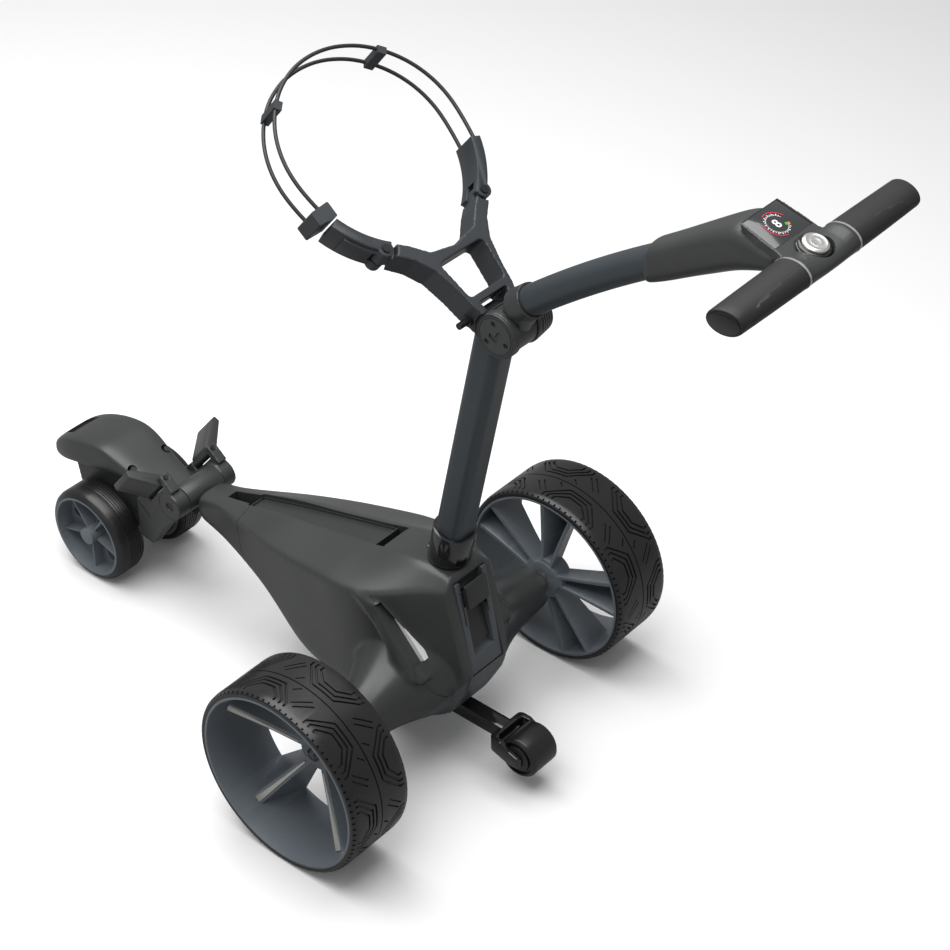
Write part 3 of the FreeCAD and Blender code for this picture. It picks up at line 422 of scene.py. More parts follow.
def grain_group():
    """Fine moulded grain with slow colour drift, from object coordinates."""
    group = bpy.data.node_groups.new("moulded_grain", "ShaderNodeTree")
    face = group.interface
    for socket, value in (
            ("Scale", 900.0), ("Strength", 0.1), ("Rough low", 0.3), ("Rough high", 0.4)):
        face.new_socket(
            socket, in_out="INPUT", socket_type="NodeSocketFloat").default_value = value
    for socket in ("Light", "Dark"):
        face.new_socket(socket, in_out="INPUT", socket_type="NodeSocketColor")
    for socket, kind in (("Color", "Color"), ("Roughness", "Float"), ("Normal", "Vector")):
        face.new_socket(socket, in_out="OUTPUT", socket_type="NodeSocket" + kind)
    nodes = group.nodes
    inputs = nodes.new("NodeGroupInput")
    outputs = nodes.new("NodeGroupOutput")
    place = nodes.new("ShaderNodeTexCoord")
    fine = nodes.new("ShaderNodeTexNoise")
    fine.inputs["Detail"].default_value = 2.0
    broad = nodes.new("ShaderNodeTexNoise")
    broad.inputs["Scale"].default_value = DRIFT_SCALE
    broad.inputs["Detail"].default_value = 3.0
    mix = nodes.new("ShaderNodeMix")
    mix.data_type = "RGBA"
    rough = nodes.new("ShaderNodeMapRange")
    rough.inputs["From Min"].default_value, rough.inputs["From Max"].default_value = DRIFT_SPAN
    bump = nodes.new("ShaderNodeBump")
    bump.inputs["Distance"].default_value = GRAIN_HEIGHT
    for source, output, target, socket in (
            (place, "Object", fine, "Vector"), (place, "Object", broad, "Vector"),
            (inputs, "Scale", fine, "Scale"), (broad, "Fac", mix, "Factor"),
            (inputs, "Dark", mix, "A"), (inputs, "Light", mix, "B"),
            (broad, "Fac", rough, "Value"), (inputs, "Rough low", rough, "To Min"),
            (inputs, "Rough high", rough, "To Max"), (fine, "Fac", bump, "Height"),
            (inputs, "Strength", bump, "Strength"), (mix, "Result", outputs, "Color"),
            (rough, "Result", outputs, "Roughness"), (bump, "Normal", outputs, "Normal")):
        group.links.new(source.outputs[output], target.inputs[socket])
    return group


def tinted(colour, factor):
    return tuple(min(1.0, channel * factor) for channel in colour[:3]) + (1.0,)


def grained(name, colour, rough, scale=900.0, strength=0.12, drift=0.12, spread=0.05, **fixed):
    """A Principled material fed by the moulded grain, with fixed sockets by name."""
    material = bpy.data.materials.new(name)
    material.use_nodes = True
    tree = material.node_tree
    shader = tree.nodes["Principled BSDF"]
    grain = tree.nodes.new("ShaderNodeGroup")
    grain.node_tree = GROUPS["grain"]
    grain.inputs["Scale"].default_value = scale
    grain.inputs["Strength"].default_value = strength
    grain.inputs["Rough low"].default_value = rough - spread
    grain.inputs["Rough high"].default_value = rough + spread
    grain.inputs["Light"].default_value = tinted(colour, 1 + drift)
    grain.inputs["Dark"].default_value = tinted(colour, 1 - drift)
    for output, socket in (
            ("Color", "Base Color"), ("Roughness", "Roughness"), ("Normal", "Normal")):
        tree.links.new(grain.outputs[output], shader.inputs[socket])
    for socket, value in fixed.items():
        shader.inputs[socket.replace("_", " ")].default_value = value
    return material


GROUPS = {}
MATERIALS = {}


def make_materials(finish):
    GROUPS["grain"] = grain_group()
    shell, grey, tube, rubber = finish.shell, finish.grey, finish.tube, finish.rubber
    MATERIALS.update({
        "shell": grained("satin_shell", shell, 0.34, 1100, 0.10),
        # A darker copy of the shell material: painted shade for the rear catch and the panel in the
        # rear frame.
        "shell_painted_shade": grained("deep_satin_shell", tinted(shell, 0.55), 0.42, 1100, 0.10),
        "grey": grained("satin_grey_moulding", tinted(grey, 1.15), 0.38, 1000, 0.10),
        "rim": grained("satin_rim", tinted(grey, 2.6), 0.36, 1000, 0.10),
        "yoke": grained("grained_yoke", tinted(grey, 0.5), 0.42, 1400, 0.35),
        "battery": grained("battery_case", tinted(shell, 0.75), 0.40, 1500, 0.25),
        "tyre": grained("tread_rubber", rubber, 0.30, 700, 0.08, 0.2, 0.06),
        "front_tyre": grained("smooth_rubber", rubber, 0.28, 900, 0.05, 0.2, 0.05),
        "grip": grained("soft_grip", tinted(rubber, 1.2), 0.5, 2600, 0.6),
        "tube": grained("tube_paint", tube, 0.38, 2600, 0.06, 0.08, 0.04, Metallic=0.35),
        "gloss": grained("gloss_black_plastic", (0.010, 0.010, 0.011), 0.14, 500, 0.02, 0.1,
                         0.03, Coat_Weight=0.5, Coat_Roughness=0.08),
        "cord": grained("cord_sheath", tinted(rubber, 1.3), 0.45, 1500, 0.4),
        "steel": grained("turned_steel", (0.42, 0.43, 0.44), 0.30, 1800, 0.1, 0.1, 0.06,
                         Metallic=1.0),
        "dark_steel": grained("dark_screw", (0.05, 0.05, 0.052), 0.32, 1500, 0.1, 0.1, 0.05,
                              Metallic=0.8),
        "silver": grained("satin_silver", (0.74, 0.74, 0.72), 0.24, 1500, 0.08, 0.06, 0.05,
                          Metallic=0.9),
        "trim": grained("pale_spoke_trim", (0.55, 0.54, 0.50), 0.32, 1400, 0.08, 0.08, 0.05,
                        Metallic=0.6),
        "glass": grained("display_glass", (0.030, 0.031, 0.033), 0.10, 300, 0.01, 0.2, 0.02,
                         Coat_Weight=0.6, Coat_Roughness=0.04),
        "board": grained("board_green", (0.03, 0.14, 0.07), 0.5, 800, 0.3),
        "brass": grained("contact_brass", (0.70, 0.48, 0.18), 0.3, 1200, 0.1, 0.1, 0.05,
                         Metallic=1.0),
        # This white is real print on the dial marks, and a painted highlight on the plates in the
        # flank slots.
        "white": grained("printed_white", (0.75, 0.75, 0.74), 0.4, 500, 0.05),
        "red": grained("printed_red", finish.dial_red, 0.4, 500, 0.05),
        "green": grained("printed_green", (0.03, 0.40, 0.08), 0.4, 500, 0.05),
        "orange": grained("printed_orange", (0.70, 0.16, 0.02), 0.4, 500, 0.05),
    })


NODE_FINISH = {
    "shell_black": "shell", "tray_grey": "grey", "battery_black": "battery",
    "tyre_black": "tyre", "rim_grey": "grey", "tube_paint": "tube", "gloss_black": "gloss",
    "yoke_grey": "yoke", "hoop_cord": "cord", "grip_rubber": "grip", "steel": "steel",
    "satin_silver": "silver", "display_glass": "glass", "board_green": "board",
    "contact_brass": "brass",
}
DARK_NODES = ("carriage_fasteners", "ring_pins", "fold_pin", "front_axle", "accessory_stud")


# Bag ring plane --------------------------------------------------------------------------------

RING_CENTRE = Vector((0, 91.6 * MM + AXLE_Y, 819.8 * MM))
RING_TILT = math.radians(38.75)
RING_UP = Vector((0, math.cos(RING_TILT), math.sin(RING_TILT)))
RING_OUT = Vector((0, -math.sin(RING_TILT), math.cos(RING_TILT)))
HOOP_ROUTE = [
    (119, -44), (127, -6), (124, 36), (106, 74), (74, 105), (37, 122),
    (0, 127), (-37, 122), (-74, 105), (-106, 74), (-124, 36), (-127, -6), (-121, -36),
]
CORD_RADIUS = 2.3 * MM
# How far each hoop cord lies out of the ring's plane, in millimetres.
HOOP_LEVELS = {"hoop_cord_front": 14.5, "hoop_cord_rear": -15.0}


def on_ring(u, v, n):
    """A point of the bag ring: across, up the ring and out of its face, given in millimetres."""
    return RING_CENTRE + X_AXIS * u * MM + RING_UP * v * MM + RING_OUT * n * MM


# Operators -------------------------------------------------------------------------------------

CAMERA_PLACE = (-1.7489, -1.6291, 2.1932)
CAMERA_TURN = Euler((math.radians(52.665), 0, math.radians(-49.617)), "XYZ")
SENSOR_WIDTH = 36
VIEW_DEPTH = 60
FLOOR_SEEN = (0.93, 0.93, 0.93, 1)
FLOOR_BOUNCE = (0.34, 0.34, 0.34, 1)
# Lights: name, place, turn, sides and the setting that holds the power.
LIGHTS = [
    ("overhead", (-0.3, 0.5, 2.6), (0, 0, 0), (2.6, 3.2), "key_power"),
    ("left_fill", (-2.6, 0.6, 1.5), (0, math.radians(-62), 0), (1.6, 2.6), "fill_power"),
]


class TROLLEY_OT_stage(bpy.types.Operator):
    """Camera, plain pale floor and soft studio lights"""
    bl_idname = "trolley.stage"
    bl_label = "Stage"

    def execute(self, context):
        stage = context.scene.trolley_stage
        camera_data = bpy.data.cameras.new("camera")
        camera_data.lens = stage.lens
        camera_data.sensor_width = SENSOR_WIDTH
        camera_data.clip_end = VIEW_DEPTH
        camera = bpy.data.objects.new("camera", camera_data)
        camera.location = CAMERA_PLACE
        camera.rotation_euler = CAMERA_TURN
        context.scene.collection.objects.link(camera)
        context.scene.camera = camera
        deselect()
        bpy.ops.mesh.primitive_plane_add(size=stage.floor_size, location=(0, 0, 0))
        floor = bpy.context.object
        floor.name = "floor"
        paper = bpy.data.materials.new("pale_floor")
        paper.use_nodes = True
        tree = paper.node_tree
        shader = tree.nodes["Principled BSDF"]
        shader.inputs["Base Color"].default_value = FLOOR_SEEN
        shader.inputs["Roughness"].default_value = 0.9
        shader.inputs["Specular IOR Level"].default_value = 0.1
        seen = tree.nodes.new("ShaderNodeMix")
        seen.data_type = "RGBA"
        seen.inputs["A"].default_value = FLOOR_BOUNCE
        seen.inputs["B"].default_value = FLOOR_SEEN
        rays = tree.nodes.new("ShaderNodeLightPath")
        tree.links.new(rays.outputs["Is Camera Ray"], seen.inputs["Factor"])
        tree.links.new(seen.outputs["Result"], shader.inputs["Base Color"])
        floor.data.materials.append(paper)
        for name, place, turn, size, power in LIGHTS:
            lamp_data = bpy.data.lights.new(name, "AREA")
            lamp_data.shape = "RECTANGLE"
            lamp_data.size, lamp_data.size_y = size
            lamp_data.energy = getattr(stage, power)
            lamp = bpy.data.objects.new(name, lamp_data)
            lamp.location = place
            lamp.rotation_euler = turn
            context.scene.collection.objects.link(lamp)
        world = bpy.data.worlds.new("even_light")
        world.use_nodes = True
        back = world.node_tree.nodes["Background"]
        back.inputs["Color"].default_value = (1, 1, 1, 1)
        back.inputs["Strength"].default_value = stage.world_strength
        context.scene.world = world
        context.scene.view_settings.view_transform = "Standard"
        return {"FINISHED"}


class TROLLEY_OT_hoop_cords(bpy.types.Operator):
    """The two cords of the bag ring's hoop"""
    bl_idname = "trolley.hoop_cords"
    bl_label = "Hoop cords"

    def execute(self, context):
        for name, level in HOOP_LEVELS.items():
            curve = bpy.data.curves.new(name + "_line", "CURVE")
            curve.dimensions = "3D"
            spline = curve.splines.new("NURBS")
            spline.points.add(len(HOOP_ROUTE) - 1)
            for point, (u, v) in zip(spline.points, HOOP_ROUTE):
                point.co = (*on_ring(u, v, level), 1)
            spline.order_u = 3
            spline.use_endpoint_u = True
            spline.resolution_u = 12
            curve.bevel_depth = CORD_RADIUS
            curve.bevel_resolution = 5
            curve.use_fill_caps = True
            cord = bpy.data.objects.new(name + "_line", curve)
            context.scene.collection.objects.link(cord)
            curve.materials.append(MATERIALS["cord"])
            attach(cord, "bag_ring")
            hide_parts(name)
        return {"FINISHED"}


# Half sections of the chassis from front to back: y, then (x, z) of the bay edge, the shoulder,
# the side, the lower side and the belly, millimetres from the rear axle's floor line.
BODY_SECTIONS = [
    (414, (14, 191), (26, 186), (28, 172), (25, 158), (14, 152)),
    (392, (13, 196), (24, 192), (27, 175), (24, 153), (13, 142)),
    (365, (12, 202), (25, 199), (29, 176), (25, 147), (12, 131)),
    (318, (16, 217), (42, 207), (40, 180), (34, 139), (17, 108)),
    (270, (21, 233), (57, 217), (51, 184), (46, 127), (25, 92)),
    (228, (23, 243), (68, 225), (60, 184), (55, 105), (36, 62)),
    (190, (25, 251), (76, 233), (68, 184), (62, 85), (45, 42)),
    (132, (26, 266), (84, 245), (77, 188), (68, 77), (46, 38)),
    (88, (28, 277), (92, 252), (86, 190), (76, 75), (47, 37)),
    (44, (31, 291), (87, 258), (84, 190), (84, 75), (46, 40)),
    (4, (32, 299), (66, 270), (76, 190), (84, 84), (42, 46)),
    (-36, (30, 297), (46, 282), (56, 192), (58, 106), (30, 62)),
    (-62, (29, 286), (36, 276), (44, 190), (46, 130), (24, 88)),
    (-90, (27, 270), (33, 262), (38, 190), (36, 150), (20, 110)),
]
HULL_CREASES = ((1, 0.6), (2, 0.75), (10, 0.75), (11, 0.6))
# Axle wing from the middle outwards: x and the centre's y and z, then the half sizes along Y and Z.
WING_SECTIONS = [
    (30, 14, 142, 84, 80), (52, 12, 140, 77, 75), (84, 14, 134, 62, 60),
    (118, 8, 128, 44, 44), (160, 2, 127.5, 34, 34), (196, 0, 127.5, 30.5, 30.5),
]
# Side views, (y, z): the split between shell and tray, and the rear end of the hull.
TRAY_EDGE = [
    (-95, 205), (-78, 157), (-50, 116), (-5, 78), (60, 70), (150, 78), (262, 104), (300, 112),
    (300, 10), (-95, 10),
]
BACK_PROFILE = [
    (430, 310), (-8, 322), (-44, 290), (-78, 158), (-71, 130), (-49, 87), (-21, 55), (20, 37),
    (430, 18),
]
# Outlines in (x, y, z) millimetres on the left flank; x is the outside of each feature.
FLANK_RIB = [
    (90, 66, 254), (90, 33, 219), (94, 2, 190), (97, -30, 167), (92, -42, 162), (82, -48, 168),
    (80, -30, 188), (86, 27, 250),
]
DENT_MOUTH = [
    (75, 36, 277), (75, 6, 290), (75, -24, 294), (75, -42, 268), (75, -55, 176), (80, -46, 178),
    (84, -14, 204), (88, 10, 256),
]
DENT_FLOOR = [
    (38, 24, 268), (34, 4, 278), (30, -16, 280), (28, -34, 262), (32, -46, 190), (42, -40, 186),
    (44, -14, 212), (42, 8, 252),
]
RIB_DEPTH = 34
# The hollow from outside to its floor: outline, how far it is pushed in, and how far spread.
DENT_RINGS = [
    (DENT_MOUTH, -30, 1.12), (DENT_MOUTH, -4, 1.12), (DENT_MOUTH, 0, 1.08), (DENT_FLOOR, 0, 1.16),
]
# Slot in the flank rib, (y, z) outline, and the plate in its lower part, whose pale colour is a
# painted highlight; then how far each reaches from the middle plane.
SLOT = [(33, 248), (-28, 182), (-33.5, 186.5), (27.5, 252.5)]
SLOT_HIGHLIGHT_PLATE = [(14, 227), (-28, 181.5), (-34, 186.5), (8, 232)]
SLOT_REACH = (60, 125)
HIGHLIGHT_PLATE_REACH = (58, 70)
HULL_VOXEL = 2.4 * MM
BODY_VOXEL = 2.0 * MM
BODY_FACES = 150000


def spread(points, factor):
    """Flank points moved apart in the side view, about their middle."""
    middle_y = sum(p[1] for p in points) / len(points)
    middle_z = sum(p[2] for p in points) / len(points)
    return [(x, middle_y + (y - middle_y) * factor, middle_z + (z - middle_z) * factor)
            for x, y, z in points]


def pushed(points, distance):
    """Flank points brought towards the middle plane, on whichever side they are."""
    return [(x - math.copysign(distance, x), y, z) for x, y, z in points]


def moulded_body():
    """The closed outside form of the chassis: hull, axle wings, flank ribs and hollows."""
    rings = []
    for y, *half in BODY_SECTIONS:
        crown = (0, half[0][1] + 1)
        keel = (0, half[-1][1] - 2)
        rings.append([at(x, y, z) for x, z in mirrored([crown, *half, keel])])
    hull = lofted("hull", rings, 3, HULL_CREASES)
    cut_away(hull, prism("back", BACK_PROFILE, -130, 130), "INTERSECT", "EXACT")
    parts = [hull]
    for side in (1, -1):
        parts.append(lofted("wing", [
            oval(side * x, *section, 12) for x, *section in WING_SECTIONS], 2))
        places = [(side * -x, y, z) for x, y, z in FLANK_RIB]
        parts.append(lofted("flank_rib", [
            [at(*p) for p in pushed(places, RIB_DEPTH)], [at(*p) for p in places]]))
    body = join(parts, "chassis_moulding")
    melted(body, HULL_VOXEL, 4)
    for side in (1, -1):
        cut_away(body, lofted("dent", [
            [at(side * -x, y, z) for x, y, z in spread(pushed(points, distance), factor)]
            for points, distance, factor in DENT_RINGS], 2))
    return body


# Hollows cut down into the shell: name, (x, y) outline, and the heights of floor and top.
HOLLOWS = [
    ("seat", [(-60, -60), (60, -60), (60, 70), (-60, 70)], 298.4, 400),
    ("bay", [(-23.5, 90), (23.5, 90), (15, 320), (-15, 320)], 147, 400),
    ("contact_bay", [(-24, 72), (24, 72), (24, 96), (-24, 96)], 200, 400),
    ("finger_hole", [(-12, 316), (12, 316), (8, 364), (-8, 364)], 168, 400),
]
FRAME_WELL = [(-30, 284), (-92, 296), (-98, 148), (-56, 161)]
FRAME_WELL_REACH = 28.5
TRAY_REACH = 250
# Seams of the shell: a point (y, z) on the cut, the cut's normal, the span of heights, the least
# distance from the middle plane, and the least Y of a face's normal.
SEAMS = [
    ((314, 0), (1, 0), (150, 1000), 0, -0.9),
    ((36, 253), (10, -16), (248.5, 257), 0, -2),
    ((0, 217.6), (62, -57), (186, 248.5), 60, -2),
    ((-41.5, 162.5), (47, -25), (130, 186), 55, -2),
]


class TROLLEY_OT_body(bpy.types.Operator):
    """Moulded shell and tray with their seams"""
    bl_idname = "trolley.body"
    bl_label = "Body"

    def execute(self, context):
        detail = context.scene.trolley_detail
        body = moulded_body()
        melted(body, BODY_VOXEL, 8, BODY_FACES)
        for side in (1, -1):
            cut_away(body, prism("slot", SLOT, *sorted(side * reach for reach in SLOT_REACH)))
        for hollow in HOLLOWS:
            cut_away(body, flat_plate(*hollow))
        cut_away(body, prism("frame_well", FRAME_WELL, -FRAME_WELL_REACH, FRAME_WELL_REACH))
        tray = copied(body, "tray_form", Matrix.Identity(4))
        below = prism("below", TRAY_EDGE, -TRAY_REACH, TRAY_REACH)
        cut_away(tray, below, "INTERSECT", keep=True)
        cut_away(body, below)
        for (y, z), normal, (low, high), apart, facing in SEAMS:
            seam(body, at(0, y, z), (0, *normal), detail.seam_width, detail.seam_depth,
                 lambda c, n: low * MM < c.z < high * MM and abs(c.x) >= apart * MM
                 and n.y > facing)
        finish_piece(body, "chassis", "shell", "shell_moulding", "main_shell", 40)
        finish_piece(tray, "chassis", "grey", "tray_moulding", "lower_tray", 40)
        # The plates in the slots are white as a painted highlight, standing for the bright gleam in
        # the slot rather than their own colour.
        highlight_plates = prism_pair("slot_inserts", SLOT_HIGHLIGHT_PLATE, *HIGHLIGHT_PLATE_REACH)
        finish_piece(highlight_plates, "chassis", "white", degrees=32)
        skin("stem_seat", "shell", 0.0008)
        skin("front_knuckle", "shell", 0.0008)
        return {"FINISHED"}


# Rear frame, side views in (y, z): the panel in it, and the dark strip on each of its sides.
REAR_PANEL = [(-38, 256), (-61, 190), (-64, 191), (-42, 257)]
PANEL_REACH = 17.6
FRAME_STRIP = [(-49.5, 274), (-60, 226), (-62.4, 226), (-51.6, 274)]
STRIP_REACH = (18.5, 22.5)


class TROLLEY_OT_rear_frame(bpy.types.Operator):
    """Rear frame under the collar, with its latch"""
    bl_idname = "trolley.rear_frame"
    bl_label = "Rear frame"

    def execute(self, context):
        skin("rear_frame", "grey", 0.0012)
        # The catch and the panel take the darker copy of the shell material, which is painted
        # shade.
        skin("rear_catch", "shell_painted_shade", 0.0025, segments=4)
        panel = prism("rear_panel", REAR_PANEL, -PANEL_REACH, PANEL_REACH)
        finish_piece(panel, "chassis", "shell_painted_shade", degrees=32)
        strips = prism_pair("frame_side_strips", FRAME_STRIP, *STRIP_REACH)
        add_bevel(strips, 0.0005)
        apply_all(strips)
        finish_piece(strips, "chassis", "gloss", degrees=32)
        return {"FINISHED"}


class TROLLEY_OT_battery(bpy.types.Operator):
    """Battery pack in its bay"""
    bl_idname = "trolley.battery"
    bl_label = "Battery"

    def execute(self, context):
        skin("battery_pack", "battery", 0.002, segments=3)
        return {"FINISHED"}


SPOKES = 5
SPOKE_TURN = {"left": 18, "right": 26}
# Outer face of a spoke in millimetres: radius, distance from the middle plane, strip half width.
STRIP = [(26, 234.6, 1.6), (60, 246.6, 2.4), (92, 259.4, 3.8), (114, 268.2, 5.0)]
STRIP_CROWN = 0.9
STRIP_ROOT = -1.0
STRIP_NARROWING = 0.7


class TROLLEY_OT_rear_wheels(bpy.types.Operator):
    """Rear tyres with their tread, and the rims"""
    bl_idname = "trolley.rear_wheels"
    bl_label = "Rear wheels"

    def execute(self, context):
        tyres = context.scene.trolley_tyres
        low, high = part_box("right_tyre")
        half = (high.x - low.x) / 2
        middle = (high.x + low.x) / 2
        ring = tread_ring(half, tyres)
        smooth(ring, 24)
        for side, name in ((1, "right"), (-1, "left")):
            place = Matrix.Translation((side * middle, AXLE_Y, AXLE_Z))
            tyre = copied(ring, name + "_tread", place @ Matrix.Scale(side, 4, X_AXIS))
            finish_piece(tyre, name + "_wheel", "tyre", node=name + "_tyre")
            skin(name + "_rim", "rim", 0.0007)
            self.spoke_strips(side, name)
        bpy.data.objects.remove(ring)
        return {"FINISHED"}

    def spoke_strips(self, side, name):
        """Pale strips along the outer faces of the spokes, widening towards the rim."""
        hub = Vector((0, AXLE_Y, AXLE_Z))
        lift = X_AXIS * side * STRIP_CROWN * MM
        low = X_AXIS * side * STRIP_ROOT * MM
        strips = []
        for k in range(SPOKES):
            turn = math.radians(SPOKE_TURN[name] + 360 / SPOKES * k)
            out = Vector((0, math.cos(turn), math.sin(turn)))
            across = Vector((0, -math.sin(turn), math.cos(turn)))
            rings = []
            for radius, x, half in STRIP:
                spot = hub + out * radius * MM + X_AXIS * side * x * MM
                foot = across * half * MM
                rings.append([
                    spot + foot + low, spot + foot * STRIP_NARROWING + lift,
                    spot - foot * STRIP_NARROWING + lift, spot - foot + low])
            strips.append(lofted("strip", rings))
        group = join(strips, name + "_spoke_strips")
        finish_piece(group, name + "_wheel", "trim", degrees=50)


# Grooves of one tread block on one side, (round, across) millimetres from the block's middle;
# then the slits between two blocks.
BLOCK_GROOVES = [
    [(-41, 40), (-41, 34), (-17, 9.5), (17, 9.5), (41, 34), (41, 40)],
    [(-33.5, 40), (-33.5, 34), (-13.5, 15.5), (13.5, 15.5), (33.5, 34), (33.5, 40)],
    [(-25, 40), (-25, 34), (-10, 22), (10, 22), (25, 34), (25, 40)],
]
BLOCK_SLITS = [[(43, 29), (61, 10)], [(49, 32.5), (67, 14)], [(30, 12), (38, 4)]]
# Half widths of each groove at its mouth and its floor.
CENTRE_WIDTHS = (1.0, 0.5)
BLOCK_WIDTHS = (1.9, 0.8)
SLIT_WIDTHS = (1.3, 0.5)
NOTCH_WIDTHS = (1.8, 1.1)
NOTCH_DEPTH = 3.4
NOTCH_PITCH = 9.1
CELLS_PER_BLOCK = 24
# Section of the tread from its edge inwards: how far from the edge, and below the crown.
TREAD_EDGE = [(0, 4.2), (1.2, 2.2), (4, 0.8), (10, 0)]
CROWN_HALF = 3


def divided(path, step):
    """A flat path with points added so that no run is longer than the step."""
    points = []
    for (x0, z0), (x1, z1) in zip(path, path[1:]):
        count = max(1, math.ceil(math.hypot(x1 - x0, z1 - z0) / step))
        points += [(x0 + (x1 - x0) * i / count, z0 + (z1 - z0) * i / count)
                   for i in range(count)]
    return points + [path[-1]]


def groove_cutter(path, widths, depth, rise=1.5):
    """A tapered bar along a flat path; X runs round the tyre, Z across it, Y is outwards."""
    top, foot = widths
    rings = []
    path = divided(path, 5)
    for i, (x, z) in enumerate(path):
        before = Vector(path[max(i - 1, 0)])
        after = Vector(path[min(i + 1, len(path) - 1)])
        here = Vector((x, z))
        runs = [v.normalized() for v in (here - before, after - here) if v.length > 0]
        run = sum(runs, Vector((0, 0))).normalized()
        side = Vector((-run.y, run.x)) / max(0.5, run.dot(runs[0]))
        rings.append([
            Vector(((x + side.x * reach) * MM, level * MM, (z + side.y * reach) * MM))
            for reach, level in ((-top, rise), (top, rise), (foot, -depth), (-foot, -depth))])
    return lofted("groove", rings)


def tread_ring(half, tyres):
    """A rear tyre round the X axis: a flat closed strip with its grooves cut, wrapped round."""
    pitch = 2 * math.pi * WHEEL_R / tyres.blocks
    cells = CELLS_PER_BLOCK * tyres.blocks
    span = pitch * tyres.blocks
    length = span / MM
    depth = tyres.groove_depth / MM
    across = [(half, -tyres.depth)]
    across += [(half - inwards * MM, -below * MM) for inwards, below in TREAD_EDGE]
    across += [(CROWN_HALF * MM, 0)]
    across += [(-z, y) for z, y in reversed(across)]
    strip = lofted("tread_strip", [
        [Vector((span * i / cells, y, z)) for z, y in across] for i in range(cells + 1)])
    grooves = [groove_cutter([(-20, 0), (length + 20, 0)], CENTRE_WIDTHS, depth)]
    for k in range(tyres.blocks + 1):
        for side in (1, -1):
            middle = (k + (0.5 if side > 0 else 0)) * pitch / MM
            if middle > length + 1:
                continue
            for path in BLOCK_GROOVES + BLOCK_SLITS:
                widths = SLIT_WIDTHS if path in BLOCK_SLITS else BLOCK_WIDTHS
                points = [(middle + x * side, z * side) for x, z in path]
                grooves.append(groove_cutter(points, widths, depth))
    cut_away(strip, join(grooves, "grooves"), solver="EXACT")
    count = int(length / NOTCH_PITCH)
    notches = [
        groove_cutter([((i + 0.5) * length / count, side * (half / MM - 3.5)),
                       ((i + 0.5) * length / count, side * (half / MM + 2))],
                      NOTCH_WIDTHS, NOTCH_DEPTH)
        for i in range(count) for side in (1, -1)]
    cut_away(strip, join(notches, "notches"), solver="EXACT")
    edit(strip)
    pick_faces(strip, lambda c, n: abs(n.x) > 0.99 and not 0.01 * MM < c.x < span - 0.01 * MM)
    bpy.ops.mesh.delete(type="FACE")
    leave()
    for vert in strip.data.vertices:
        turn = vert.co.x / WHEEL_R
        reach = WHEEL_R + vert.co.y
        vert.co = (vert.co.z, reach * math.cos(turn), reach * math.sin(turn))
    faced_out(strip, TREAD_MERGE)
    return strip


# Front tyre: inner radius, then depth, edge step and places of its running grooves.
FRONT_INNER = 60.5
FRONT_GROOVE = 1.1
FRONT_GROOVE_EDGE = 0.4
FRONT_GROOVES = (6, 10, 14, 18, 22, 26)


class TROLLEY_OT_front_wheels(bpy.types.Operator):
    """Front tyres with running grooves, and their rims"""
    bl_idname = "trolley.front_wheels"
    bl_label = "Front wheels"

    def execute(self, context):
        low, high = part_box("front_right_tyre")
        outer = FRONT_R / MM
        width = (high.x - low.x) / MM
        edge = outer - FRONT_GROOVE_EDGE
        profile = [(0, FRONT_INNER), (0, outer - 5), (2, outer - 2)]
        for start in FRONT_GROOVES:
            profile += [
                (start, edge), (start + 0.1, edge - FRONT_GROOVE),
                (start + 1.1, edge - FRONT_GROOVE), (start + 1.2, outer)]
        profile += [
            (width - 11, outer), (width - 6, outer - 1.2), (width - 2.5, outer - 4),
            (width - 0.6, outer - 7.5), (width, FRONT_INNER + 0.6), (width, FRONT_INNER),
            (0, FRONT_INNER)]
        for side, name in ((1, "front_right"), (-1, "front_left")):
            tyre = turned(name + "_tread", profile, (side * low.x, FRONT_Y, FRONT_Z),
                          (side, 0, 0), closed=True)
            finish_piece(tyre, name + "_wheel", "front_tyre",
                         node=name + "_tyre", degrees=30)
            skin(name + "_rim", "rim", 0.0006)
        return {"FINISHED"}


# Bag rest from front to back: y, half width, top, lower edge of the skirt, millimetres.
SCOOP = [
    (681.5, 33, 158, 143), (676, 37, 166, 139), (660, 41, 177, 140), (640, 44, 186, 146),
    (615, 44, 195, 152), (590, 44, 200.5, 157), (568, 44, 201, 163), (548, 43, 195, 168),
    (528, 40, 186, 168), (508, 37, 176.5, 162), (486, 35, 168.5, 157), (459, 34, 168, 158),
]
SCOOP_WALL = 11
# Finger grip cut in the bag rest: front and rear y, height, and how far its two levels are raised.
FINGER_GRIP = [(650, 672, 180, -6), (648, 674, 180, 25)]
SCREW_WELL = [(-1, 6.4), (30, 6.4)]


class TROLLEY_OT_carriage(bpy.types.Operator):
    """Scoop, keel and bag paddles of the front carriage"""
    bl_idname = "trolley.carriage"
    bl_label = "Front carriage"

    def execute(self, context):
        self.scoop()
        skin("front_keel", "shell", melt=(1.4 * MM, 3, 110000))
        skin("left_paddle", "shell", 0.0016, segments=3)
        skin("right_paddle", "shell", 0.0016, segments=3)
        return {"FINISHED"}

    def scoop(self):
        """Bag rest: a smooth saddle with side skirts, a thick lip and a sunk finger grip."""
        rings = []
        for y, half, top, low in SCOOP:
            under = max(low + 3, top - SCOOP_WALL)
            rings.append([at(x, y, z) for x, z in mirrored([
                (0, top), (half * 0.65, top), (half * 0.94, top - 2.5), (half, top - 9),
                (half, low + 3), (half - 3.5, low), (half - 7, under - 1), (half * 0.5, under),
                (0, under)])])
        scoop = lofted("bag_rest", rings, 2)
        cut_away(scoop, lofted("grip", [
            [at(-24, y0, z + lift), at(24, y0, z + lift), at(21, y1, z - 10.5 + lift),
             at(-21, y1, z - 10.5 + lift)]
            for y0, y1, z, lift in FINGER_GRIP]))
        for side in (1, -1):
            cut_away(scoop, turned("screw_well", SCREW_WELL, at(side * 31, 529, 175),
                                   (0, -0.45, 0.89), 32))
        finish_piece(scoop, "front_carriage", "shell",
                     node="bag_scoop", degrees=40)


HUB = at(0, -108, 674)
